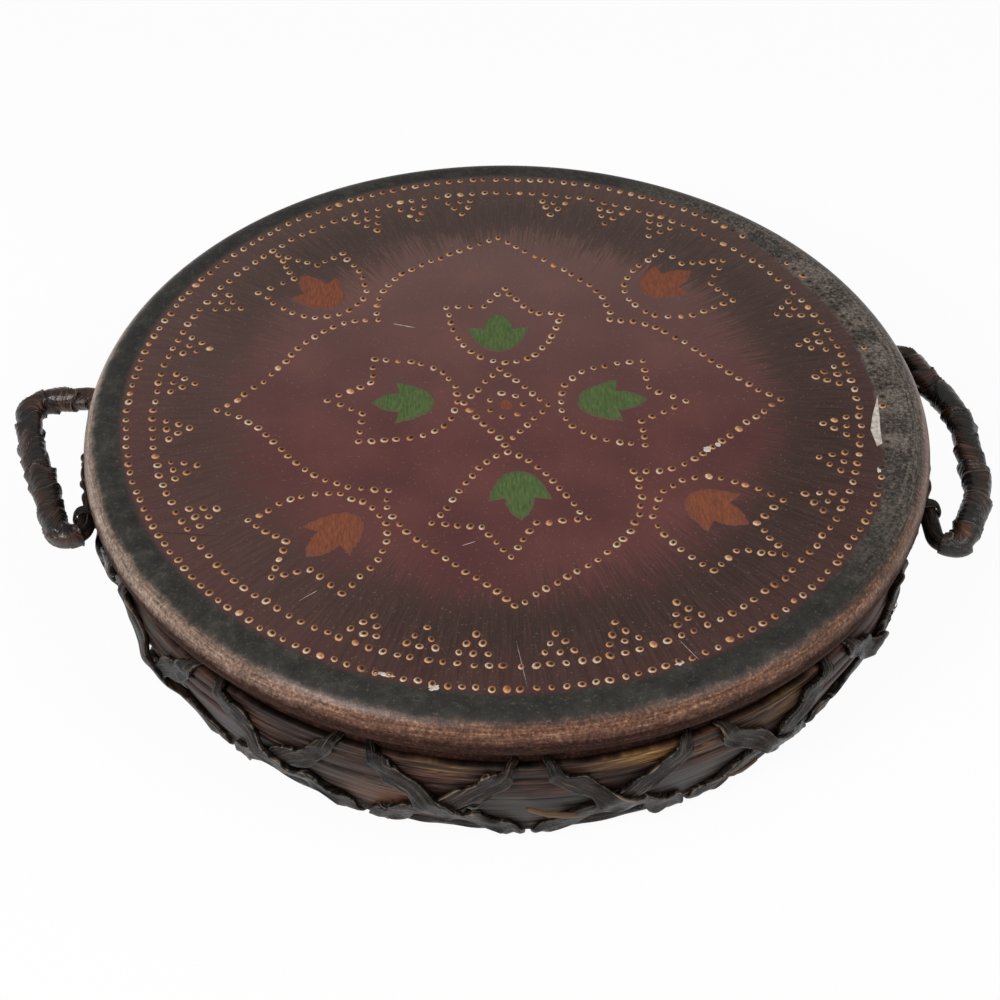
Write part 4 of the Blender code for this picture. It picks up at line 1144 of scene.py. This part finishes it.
def make_lace(name, apex, seed, finish):
    """One thong, both legs, as a strap section carried along its route.

    The section's edges curl outward and its width, curl and creases change slowly along the thong.
    """
    rng = np.random.default_rng(seed)
    middle = (0.0, BIGHT_RADIUS, HOLE_LEVEL, 90, LACE_CORD, LACE_CORD)
    rows = np.array([*reversed(leg_rows(-1, False)), middle, *leg_rows(1, True)])
    turn = apex + np.radians(rows[:, 0])
    lean = np.radians(rows[:, 3])
    radial = np.stack([np.cos(turn), np.sin(turn), np.zeros_like(turn)], axis=1)
    centre = rows[:, 1:2] * radial + rows[:, 2:3] * np.array([0.0, 0.0, 1.0])
    outward = np.cos(lean)[:, None] * radial + np.sin(lean)[:, None] * np.array([0.0, 0.0, 1.0])
    route = spline(np.concatenate([centre, outward, rows[:, 4:6]], axis=1), LACE_ROWS)
    centre, outward = route[:, :3], route[:, 3:6]
    width, thick = route[:, 6], route[:, 7]
    along = unit(np.gradient(centre, axis=0))
    across = unit(np.cross(outward, along))
    outward = np.cross(along, across)
    s = np.concatenate([[0.0], np.cumsum(np.linalg.norm(np.diff(centre, axis=0), axis=1))])
    phase = 2 * np.pi * s / s[-1]
    flatness = np.clip((width - LACE_CORD) / (LACE_WIDTH - LACE_CORD), 0.0, 1.0)
    width = width * (1.0 + flatness * (0.14 + 0.20 * ripple(seed + 100, 2, 16)(phase)))
    wander = 1.1 * MM * flatness * ripple(seed + 500, 3, 14)(phase)
    curl = flatness * (0.5 + 0.7 * ripple(seed + 200, 1, 9)(phase)) * MM
    section_x, section_y = strap_section(LACE_SIDES)
    crease = 0.32 * MM * np.sin(5 * section_x + 2.0 * ripple(seed + 300, 2, 14)(phase)[:, None])
    lifted = (section_y * thick[:, None] / 2 + curl[:, None] * (np.abs(section_x) ** 2.5 - 0.15)
              + flatness[:, None] * crease * (section_y > 0)
              - 1.8 * MM * flatness[:, None] * np.clip(-section_y, 0.0, 1.0))
    side = section_x * width[:, None] / 2 + wander[:, None]
    grid = centre[:, None] + side[..., None] * across[:, None] + lifted[..., None] * outward[:, None]
    grid[..., 2] = np.maximum(grid[..., 2], 0.2 * MM)
    edge = np.broadcast_to(np.clip((np.abs(section_x) - 0.80) / 0.2, 0.0, 1.0) * (section_y > -0.4),
                           side.shape)
    tone = np.full(side.shape, rng.uniform(0.0, 0.6)) + 0.25 * ripple(seed + 400, 1, 6)(phase)[:, None]
    uv = np.stack([side + seed * LACE_WIDTH, np.broadcast_to(s[:, None], side.shape)], axis=-1)
    return skin(name, grid, finish, marks={"edge": edge, "tone": np.clip(tone, 0.0, 1.0)}, uv=uv)


# Handles and their keepers

CORE_RADIUS = 4.5 * MM
WRAP_START = 2.5 * MM
WRAP_LOW = 6.0 * MM
WRAP_STEP = 2.0 * MM
WRAP_PITCH = 10.8 * MM
WRAP_UNEVEN = 0.42           # share of the pitch that the strip's edge strays by
WRAP_TAPER = 22 * MM         # the winding thins over this much at each end
TAN_REACH = 60 * MM          # the back end is tan for this far
BINDING_STRANDS = 3
BINDING_TWISTS = 2.3
BINDING_RADIUS = 1.6 * MM    # of the line that each strand winds on
BINDING_OFF = 7.2 * MM       # from the band out to the middle of the bundle
STRAND_RADIUS = 1.3 * MM
PEG_INSIDE = 5.0 * MM
KEEPER_WIDTH = 5.0 * MM
KEEPER_WALL = 1.6 * MM
KEEPER_CLEAR = 0.6 * MM
SHANK_THICK = 3.6 * MM
KNOT_RADIUS = 4.8 * MM
HOOK = 12.0 * MM             # each end turns in from this far out
BEND = 6.5 * MM              # inside radius of that turn
# Corners of each cane, (out from the hinge line, along it, rounding radius), and its two keepers
LEFT_CORNERS = ((0.0, 53.5 * MM, 9 * MM), (38.5 * MM, 53.5 * MM, 12 * MM), (32.7 * MM, 17.8 * MM, 90 * MM),
                (HOOK, -46 * MM, BEND), (0.0, -46 * MM, BEND))
RIGHT_CORNERS = ((0.0, 69 * MM, BEND), (HOOK, 69 * MM, BEND), (31.2 * MM, 17.3 * MM, 45 * MM),
                 (28.7 * MM, -35.5 * MM, 45 * MM), (HOOK, -71 * MM, BEND), (0.0, -71 * MM, BEND))
LEFT_KEEPERS = (41.5 * MM, -34 * MM)
RIGHT_KEEPERS = (48 * MM, -48 * MM)


def rounded_route(corners, keepers, spacing=0.25 * MM):
    """Even points along straight runs whose corners (out, along, radius) are rounded by arcs."""
    chain = [np.array([0.0, keepers[0] - PEG_INSIDE]), *(np.array(c[:2]) for c in corners),
             np.array([0.0, keepers[1] + PEG_INSIDE])]
    points = [chain[0][None]]
    for before, here, after, corner in zip(chain, chain[1:], chain[2:], corners):
        arrive, leave = unit(here - before), unit(after - here)
        bend = math.atan2(arrive[0] * leave[1] - arrive[1] * leave[0], arrive @ leave)
        start = here - arrive * corner[2] * math.tan(abs(bend) / 2)
        inward = np.array([-arrive[1], arrive[0]]) * math.copysign(1.0, bend)
        turn = np.linspace(0.0, bend, 60)[:, None]
        spoke = -inward * corner[2]
        swung = np.cos(turn) * spoke + np.sin(turn) * np.array([-spoke[1], spoke[0]])
        points.append(start + inward * corner[2] + swung)
    points.append(chain[-1][None])
    line = np.concatenate(points)
    travel = np.concatenate([[0.0], np.cumsum(np.linalg.norm(np.diff(line, axis=0), axis=1))])
    where = np.arange(0.0, travel[-1], spacing)
    return np.stack([np.interp(where, travel, line[:, k]) for k in (0, 1)], axis=1)


def tube_grid(plan, hinge_x, radius, turn):
    """Points round a plan line on the hinge level, at a radius for each point and turn."""
    ahead = unit(np.gradient(plan, axis=0))
    normal = np.stack([ahead[:, 1], -ahead[:, 0]], axis=1)
    flat = plan[:, None] + (radius * np.cos(turn))[..., None] * normal[:, None]
    x = hinge_x + math.copysign(1.0, hinge_x) * flat[..., 0]
    return np.stack([x, flat[..., 1], HINGE_LEVEL + radius * np.sin(turn)], axis=-1)


def make_core(name, hinge_x, corners, keepers, finish):
    """The bent cane under the wrapping: a tube along the handle's route, a little uneven."""
    plan = rounded_route(corners, keepers, 1.0 * MM)
    s = np.arange(len(plan)) * MM
    turn = around(20)
    uneven = CORE_RADIUS - 0.1 * MM + 0.1 * MM * ripple(61, 2, 9)(2 * np.pi * s / s[-1])
    radius = uneven[:, None] * np.ones_like(turn)
    grid = tube_grid(plan, hinge_x, radius, turn)
    uv = np.stack([turn * CORE_RADIUS * np.ones_like(radius), s[:, None] * np.ones_like(radius)], axis=-1)
    zero = np.zeros_like(radius)
    return skin(name, grid, finish, marks={"tone": zero + 0.6, "edge": zero}, uv=uv)


def make_wrap(name, hinge_x, corners, keepers, seed, tan_part, finish):
    """One leather strip wound along the handle, each turn lapping the one before like a shingle.

    A point at distance s and turn angle lies on strip turn k where the strip's lower edge, a line
    that climbs one uneven pitch for each turn, has passed it; the surface stands up by one strip at
    that edge and slopes down to the next.
    """
    plan = rounded_route(corners, keepers)
    out = np.flatnonzero(plan[:, 0] > WRAP_START)
    plan = plan[out[0]:out[-1] + 1]
    s = np.concatenate([[0.0], np.cumsum(np.linalg.norm(np.diff(plan, axis=0), axis=1))])
    turn = around(30)
    wound = turn / (2 * np.pi)
    uneven = ripple(seed, 3, 40)
    turns = s[-1] / WRAP_PITCH

    def edge_of(q):
        """Distance along the cane of the strip's edge after q turns."""
        return WRAP_PITCH * (q + WRAP_UNEVEN * uneven(2 * np.pi * q / turns))

    grid_s = s[:, None] * np.ones_like(wound)
    first = np.floor(grid_s / WRAP_PITCH - wound)
    k = first - 1
    for step in (0.0, 1.0):
        k = np.where(edge_of(first + step + wound) <= grid_s, first + step, k)
    low, high = edge_of(k + wound), edge_of(k + 1 + wound)
    share = (grid_s - low) / np.maximum(high - low, 1e-5)
    along = k + wound
    proud = 0.75 + 0.45 * ripple(seed + 1, 5, 60)(2 * np.pi * along / turns)
    rise = np.clip(share / 0.07, 0.0, 1.0)
    rise = rise * rise * (3 - 2 * rise)
    shingle = rise * (1.0 - 0.85 * share) * np.clip(proud, 0.35, 1.3)
    swollen = 0.35 * MM * ripple(seed + 2, 1, 8)(np.pi * s / s[-1])[:, None]
    crease = 0.10 * MM * np.sin(22 * share + 3 * ripple(seed + 3, 8, 50)(2 * np.pi * along / turns))
    ends = np.clip(np.minimum(s, s[-1] - s) / WRAP_TAPER, 0.0, 1.0)[:, None]
    radius = (WRAP_LOW + swollen + WRAP_STEP * shingle + crease * ends) * (0.80 + 0.20 * ends)
    grid = tube_grid(plan, hinge_x, radius, turn)
    tone = 0.18 + 0.42 * ripple(seed + 4, 4, 45)(2 * np.pi * along / turns)
    tone = tone + tan_part * np.clip(1.0 - s / TAN_REACH, 0.0, 1.0)[:, None]
    # edge: pale on the edge of each turn, less a painted shade in the crevice where the next turn laps over
    # it
    edge = np.clip(1.2 - np.abs(share - 0.09) / 0.06, 0.0, 1.0) - np.clip((share - 0.86) / 0.12, 0.0, 1.0)
    uv = np.stack([share * WRAP_PITCH, along * 2 * np.pi * WRAP_LOW], axis=-1)
    return skin(name, grid, finish, marks={"tone": np.clip(tone, 0.0, 1.0), "edge": edge}, uv=uv)


def make_eye(name, hinge_x, keeper_y, seed, finish):
    """The eye of a keeper: a strap section carried round the handle's peg, uneven in width."""
    x_side = math.copysign(1.0, hinge_x)
    turn = around(48)
    across, height = strap_section(16)
    wide = KEEPER_WIDTH / 2 * (1.0 + 0.08 * ripple(seed, 2, 6)(turn))
    middle = CORE_RADIUS + KEEPER_CLEAR + KEEPER_WALL / 2
    radius = middle + height * KEEPER_WALL / 2 * np.ones((len(turn), 1))
    side = across * wide[:, None]
    grid = np.stack([hinge_x + x_side * radius * np.cos(turn)[:, None], keeper_y + side,
                     HINGE_LEVEL + radius * np.sin(turn)[:, None]], axis=-1)
    edge = np.broadcast_to(np.clip((np.abs(across) - 0.8) / 0.2, 0.0, 1.0) * (height > -0.4), side.shape)
    uv = np.stack([side + seed * KEEPER_WIDTH, (turn * middle)[:, None] * np.ones_like(side)], axis=-1)
    return skin(name, grid, finish, ring=True, marks={"edge": edge, "tone": np.full(side.shape, 0.3)},
                uv=uv)


def make_shank(name, hinge_x, keeper_y, seed, finish):
    """A keeper's shank through the wall: a flat bar from the eye in, swelling to the knot inside."""
    x_side = math.copysign(1.0, hinge_x)
    far_y = abs(keeper_y) + KEEPER_WIDTH / 2
    wall = math.sqrt((shell_radius(HINGE_LEVEL) - SHELL_WALL) ** 2 - far_y ** 2)
    knot = wall - 2 * CLEAR - KNOT_RADIUS
    start = abs(hinge_x) - CORE_RADIUS - KEEPER_CLEAR - KEEPER_WALL / 2
    x = np.concatenate([np.linspace(start, knot + KNOT_RADIUS, 8),
                        knot + KNOT_RADIUS * np.cos(np.linspace(0.4, 3.0, 12))])
    ball = np.sqrt(np.clip(KNOT_RADIUS ** 2 - (x - knot) ** 2, 0.0, None))
    half = np.maximum(np.where(x > knot - 0.7 * KNOT_RADIUS, SHANK_THICK / 2, 0.3 * MM), ball)
    turn = around(14)
    y = keeper_y + KEEPER_WIDTH / 2 * np.cos(turn) * np.ones((len(x), 1))
    z = HINGE_LEVEL + half[:, None] * np.sin(turn) * (1.0 + 0.05 * ripple(seed, 2, 5)(turn))
    grid = np.stack([x_side * x[:, None] * np.ones_like(y), y, z], axis=-1)
    zero = np.zeros_like(y)
    uv = np.stack([turn * KEEPER_WIDTH / 2 + zero, x[:, None] + zero], axis=-1)
    return skin(name, grid, finish, marks={"edge": zero, "tone": zero + 0.3}, uv=uv)


def make_binding(name, hinge_x, keepers, seed, finish):
    """Three thin thongs twisted together along the drum's side, from one keeper of a handle to the other.

    Each strand is a tube round a line that sags a little and is turned about the bundle's middle.
    """
    x_side = math.copysign(1.0, hinge_x)
    t = np.linspace(0.0, 1.0, 90)
    y = keepers[0] + (keepers[1] - keepers[0]) * t
    bow = np.sin(np.pi * t)
    ring = around(10)
    grids = []
    for strand in range(BINDING_STRANDS):
        wind = 2 * np.pi * (BINDING_TWISTS * t + strand / BINDING_STRANDS)
        wind = wind + 0.5 * ripple(seed + strand, 1, 5)(2 * np.pi * t)
        reach = BINDING_RADIUS * (0.35 + 0.65 * bow)
        bulge = bow ** 0.3
        round_band = np.sqrt((BAND_OUTER + BINDING_OFF) ** 2 - y ** 2)
        x = round_band * bulge + (abs(hinge_x) - 1.0 * MM) * (1 - bulge)
        line = np.stack([x + reach * np.cos(wind), y,
                         HINGE_LEVEL + 4 * MM * bow + 1.7 * reach * np.sin(wind)], axis=1)
        ahead = unit(np.gradient(line, axis=0))
        outward = unit(np.cross(ahead, np.array([0.0, 0.0, 1.0])))
        up = np.cross(outward, ahead)
        thick = STRAND_RADIUS + 0.3 * MM * ripple(seed + 5 + strand, 2, 9)(2 * np.pi * t)
        grids.append(line[:, None] + thick[:, None, None] * (np.cos(ring)[:, None] * outward[:, None]
                                                             + 1.3 * np.sin(ring)[:, None] * up[:, None]))
    grids = np.stack(grids)
    grids[..., 0] *= x_side
    points, quads, triangles = stack_tubes(grids)
    shape = grids.shape[:3]
    marks = {"edge": stack_marks(np.broadcast_to(0.5 * (np.cos(2 * ring) > 0.6), shape)),
             "tone": stack_marks(np.full(shape, 0.25))}
    across = stack_marks(np.broadcast_to(ring * STRAND_RADIUS, shape))
    along = stack_marks(np.broadcast_to(y[:, None], shape))
    return build(name, points, quads, triangles, finish, marks, np.stack([across, along], axis=1))


# Frayed ends on the side: azimuth in degrees, level, height above the board, strands, length (millimetres)
TUFTS = ((-109.0, 17, 4.5, 14, 8), (-98.0, 37, 5.0, 16, 8), (-126.0, 40, 5.5, 10, 8),
         (-30.0, 42, 5.5, 10, 9), (-74.0, 18, 4.5, 8, 7), (-168.0, 42, 5.0, 4, 12))
SLIVER_THICK = 0.8 * MM
SLIVER_BOW = 1.2 * MM
# Split slivers of cane caught in the lacing: azimuth and level of both ends, and half width (millimetres)
SLIVERS = ((-90.5, 35, -82.5, 19, 2.2), (-63.0, 15, -56.0, 10, 1.5))


def make_slivers(finish):
    """Leaf-shaped slivers that lie on the side: flat tubes along a straight line between two places."""
    t = np.linspace(0.0, 1.0, 18)
    ring = around(10)
    grids = []
    for number, (start, high, end, low, half) in enumerate(SLIVERS):
        turn = np.radians(start + (end - start) * t)
        level = (high + (low - high) * t) * MM
        radius = np.array([leg_radius(z) for z in level]) + SLIVER_BOW * np.sin(np.pi * t)
        out = np.stack([np.cos(turn), np.sin(turn), np.zeros_like(turn)], axis=1)
        line = radius[:, None] * out + level[:, None] * np.array([0.0, 0.0, 1.0])
        across = unit(np.cross(out, np.gradient(line, axis=0)))
        leaf = 0.15 + np.sin(np.pi * t) ** 0.6
        wide = half * MM * leaf * (1.0 + 0.15 * ripple(81 + number, 2, 7)(2 * np.pi * t))
        grids.append(line[:, None] + (wide[:, None] * np.cos(ring))[..., None] * across[:, None]
                     + (SLIVER_THICK * np.sin(ring))[:, None] * out[:, None])
    grids = np.stack(grids)
    points, quads, triangles = stack_tubes(grids)
    shape = grids.shape[:3]
    marks = {"gold": stack_marks(np.full(shape, 0.6)), "red": stack_marks(np.zeros(shape)),
             "seam": stack_marks(np.zeros(shape))}
    along = stack_marks(np.broadcast_to((t * 40 * MM)[:, None], shape))
    across = stack_marks(np.broadcast_to(np.cos(ring) * 3 * MM, shape))
    return build("cane_slivers", points, quads, triangles, finish, marks, np.stack([along, across], axis=1))


def make_tufts(finish):
    """Frayed thong ends: bunches of thin tapered strands that curve off the side from one place."""
    rng = np.random.default_rng(71)
    t = np.linspace(0.0, 1.0, 6)
    ring = around(5)
    grids = []
    for azimuth, level, proud, strands, length in TUFTS:
        out = np.array([math.cos(math.radians(azimuth)), math.sin(math.radians(azimuth)), 0.0])
        side = np.array([-out[1], out[0], 0.0])
        reach = leg_radius(level * MM) - LACE_THICK + (proud - 3.5) * MM
        root = reach * out + np.array([0.0, 0.0, level * MM])
        for _ in range(strands):
            lean = rng.normal(0.3, 0.6) + np.pi * rng.integers(2)
            flat = np.cos(lean) * side + np.sin(lean) * np.array([0.0, 0.0, 1.0])
            run = length * MM * rng.uniform(0.5, 1.0)
            start = root + rng.uniform(-0.35, 0.35) * run * flat
            lift = (0.25 * np.sin(np.pi * t) * rng.uniform(0.4, 1.3))[:, None]
            sway = 0.2 * (t ** 2)[:, None] * rng.normal() * side
            line = start + run * (t[:, None] * flat + lift * out + sway)
            across = np.cross(flat, out)
            thick = (0.55 * (1 - 0.8 * t) * rng.uniform(0.6, 1.4)) * MM
            grids.append(line[:, None] + thick[:, None, None] * (1.6 * np.cos(ring)[:, None] * across
                                                                 + 0.6 * np.sin(ring)[:, None] * out))
    grids = np.stack(grids)
    points, quads, triangles = stack_tubes(grids)
    shape = grids.shape[:3]
    pale = rng.uniform(0.2, 1.0, (shape[0], 1, 1))
    marks = {"edge": stack_marks(np.broadcast_to(pale, shape)),
             "tone": stack_marks(np.broadcast_to(1 - pale, shape))}
    across = stack_marks(np.broadcast_to(ring * MM, shape))
    along = stack_marks(np.broadcast_to((t * 12 * MM)[:, None], shape))
    return build("frayed_thong_ends", points, quads, triangles, finish, marks,
                 np.stack([across, along], axis=1))


def put(piece, body, slot, *nodes):
    """Fasten a piece to its body and hide the solids that it stands for."""
    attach(piece, body)
    if nodes:
        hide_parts(*nodes)
    return piece


hide = stained_rawhide()
lip = punched_lip()
green = brushed_paint("green_casein_paint", "#34471f", "#455a2a", "#5a6b38")
ochre = brushed_paint("red_ochre_paint", "#5f2f1b", "#753c22", "#8b4d2d")
chalk = bare_hide()
rawhide = dried_rawhide()
cane = split_cane()
wood = weathered_wood()
leather = wound_leather()

put(make_head(hide), "drum", "hide", "head_skin")
put(make_dots(lip), "drum", "hide")
green_shapes = [roughened(flower_outline(*spec), 70 + k, 0.025) for k, spec in enumerate(GREEN_PAINT)]
ochre_shapes = [roughened(flower_outline(*spec), 80 + k, 0.03) for k, spec in enumerate(OCHRE_PAINT)]
ochre_shapes.append(blob(EYE_CENTRE, 3.4, 90))
put(thin_patches("green_painted_tulips", green_shapes, green), "drum", "hide")
put(thin_patches("ochre_painted_tulips", ochre_shapes, ochre), "drum", "hide")
flakes = [drawn(PEEL), *(blob(*spec) for spec in FLAKES)]
put(thin_patches("flaked_patches", flakes, chalk, 0.16), "drum", "hide")
# a dry crack, painted near black as the shade inside it
put(thin_patches("dry_crack", [blob(*CRACK)], lip), "drum", "hide")

put(make_shell(wood), "drum", "bent_wood", "shell")
put(make_band(cane), "drum", "split_cane", "cane_band")
put(make_panel(wood), "drum", "bent_wood", "side_panel")
put(make_lower_hoop(rawhide), "drum", "dark_cane", "lower_hoop")
frame["nodes"]["rim_hoop"].data.materials.clear()
frame["nodes"]["rim_hoop"].data.materials.append(wood)
for number in range(1, LACES + 1):
    node = f"lace_{number:02d}"
    apex = 2 * math.pi * (number - 1) / LACES
    put(make_lace(f"rawhide_thong_{number:02d}", apex, number, rawhide), "drum", "rawhide", node)

put(make_slivers(cane), "drum", "split_cane")
put(make_tufts(rawhide), "drum", "rawhide")

for side_name, corners, keepers, seed, tan_part in (("left", LEFT_CORNERS, LEFT_KEEPERS, 41, 0.55),
                                                    ("right", RIGHT_CORNERS, RIGHT_KEEPERS, 51, 0.2)):
    body = side_name + "_handle"
    hinge_x = hinges[body].x - AXIS[0]
    put(make_core(body + "_cane", hinge_x, corners, keepers, rawhide), body, "dark_cane", body + "_core")
    put(make_wrap(body + "_winding", hinge_x, corners, keepers, seed, tan_part, leather), body,
        "wrap_leather", body + "_wrap")
    put(make_binding(side_name + "_binding", hinge_x, keepers, seed + 7, rawhide), "drum", "rawhide")
    for end_name, keeper_y in zip(("back", "front"), keepers):
        node = f"{side_name}_keeper_{end_name}"
        put(make_eye(node + "_eye", hinge_x, keeper_y, seed + 5, rawhide), "drum", "rawhide", node)
        put(make_shank(node + "_shank", hinge_x, keeper_y, seed + 6, rawhide), "drum", "rawhide")


# Stage, light and camera

FLOOR_HALF = 6.0
FLOOR_DROP = 0.3 * MM        # keeps the floor clear of the shell's foot
FLOOR_WHITE = 0.94           # share of plain white that the camera sees; the rest takes the shadow
SKY_STRENGTH = 0.40
LAMP_AIM = (0.0, 0.0, 0.05)
# Each lamp: name, place, size in metres and power in watts
LAMPS = (("key", (-0.9, -1.0, 1.25), 0.6, 19.0), ("fill", (1.1, -0.7, 1.4), 0.9, 9.0))


def make_stage():
    """A pale floor that stays white to the camera yet keeps the drum's shadow."""
    mesh = bpy.data.meshes.new("floor")
    far = FLOOR_HALF
    corners = [(x, y, -FLOOR_DROP) for x, y in ((-far, -far), (far, -far), (far, far), (-far, far))]
    mesh.from_pydata(corners, [], [(0, 1, 2, 3)])
    floor = bpy.data.objects.new("floor", mesh)
    bpy.context.scene.collection.objects.link(floor)
    made = bpy.data.materials.new("white_floor")
    made.use_nodes = True
    tree = made.node_tree
    tree.nodes.clear()
    path = add(tree, "ShaderNodeLightPath").outputs
    seen = add(tree, "ShaderNodeMath", {0: path["Is Camera Ray"], 1: path["Is Glossy Ray"]},
               operation="ADD").outputs[0]
    seen = add(tree, "ShaderNodeMath", {0: seen, 1: path["Is Transmission Ray"]},
               operation="ADD").outputs[0]
    share = add(tree, "ShaderNodeMath", {0: seen, 1: FLOOR_WHITE}, operation="MULTIPLY").outputs[0]
    matt = add(tree, "ShaderNodeBsdfDiffuse", {"Color": (0.86, 0.86, 0.86, 1.0)}).outputs[0]
    white = add(tree, "ShaderNodeEmission", {"Color": (1.0, 1.0, 1.0, 1.0), "Strength": 1.0}).outputs[0]
    both = add(tree, "ShaderNodeMixShader", {0: share, 1: matt, 2: white}).outputs[0]
    add(tree, "ShaderNodeOutputMaterial", {"Surface": both})
    mesh.materials.append(made)


def make_light():
    """A grey sky for even light, white where the camera sees it, and two soft lamps."""
    world = bpy.data.worlds.new("studio")
    bpy.context.scene.world = world
    world.use_nodes = True
    tree = world.node_tree
    tree.nodes.clear()
    path = add(tree, "ShaderNodeLightPath").outputs
    seen = add(tree, "ShaderNodeMath", {0: path["Is Camera Ray"], 1: path["Is Transmission Ray"]},
               operation="ADD", use_clamp=True).outputs[0]
    level = add(tree, "ShaderNodeMapRange",
                {"Value": seen, "To Min": SKY_STRENGTH, "To Max": 1.0}).outputs[0]
    sky = add(tree, "ShaderNodeBackground", {"Color": (1.0, 1.0, 1.0, 1.0), "Strength": level}).outputs[0]
    add(tree, "ShaderNodeOutputWorld", {"Surface": sky})
    for name, place, size, power in LAMPS:
        lamp = bpy.data.lights.new(name, "AREA")
        lamp.shape = "DISK"
        lamp.size = size
        lamp.energy = power
        lit = bpy.data.objects.new(name, lamp)
        lit.location = place
        lit.rotation_mode = "QUATERNION"
        lit.rotation_quaternion = (Vector(LAMP_AIM) - lit.location).to_track_quat("-Z", "Y")
        bpy.context.scene.collection.objects.link(lit)


CAMERA_PLACE = (-0.0431, -0.7342, 0.7460)
CAMERA_AIM = (-0.0070, -0.0698, 0.0950)
CAMERA_ROLL = 0.37           # degrees
LENS = 72.0                  # millimetres, as is the sensor's width
SENSOR = 36.0


def make_camera():
    """The photograph's viewpoint: above the front edge, looking down at about 44 degrees."""
    lens = bpy.data.cameras.new("camera")
    lens.lens = LENS
    lens.sensor_width = SENSOR
    camera = bpy.data.objects.new("camera", lens)
    camera.location = Vector(CAMERA_PLACE) + Vector(AXIS)
    camera.rotation_mode = "QUATERNION"
    aim = (Vector(CAMERA_AIM) - Vector(CAMERA_PLACE)).to_track_quat("-Z", "Y")
    camera.rotation_quaternion = aim @ Quaternion((0.0, 0.0, 1.0), math.radians(CAMERA_ROLL))
    bpy.context.scene.collection.objects.link(camera)
    bpy.context.scene.camera = camera


make_stage()
make_light()
make_camera()
bpy.context.scene.view_settings.view_transform = "Standard"
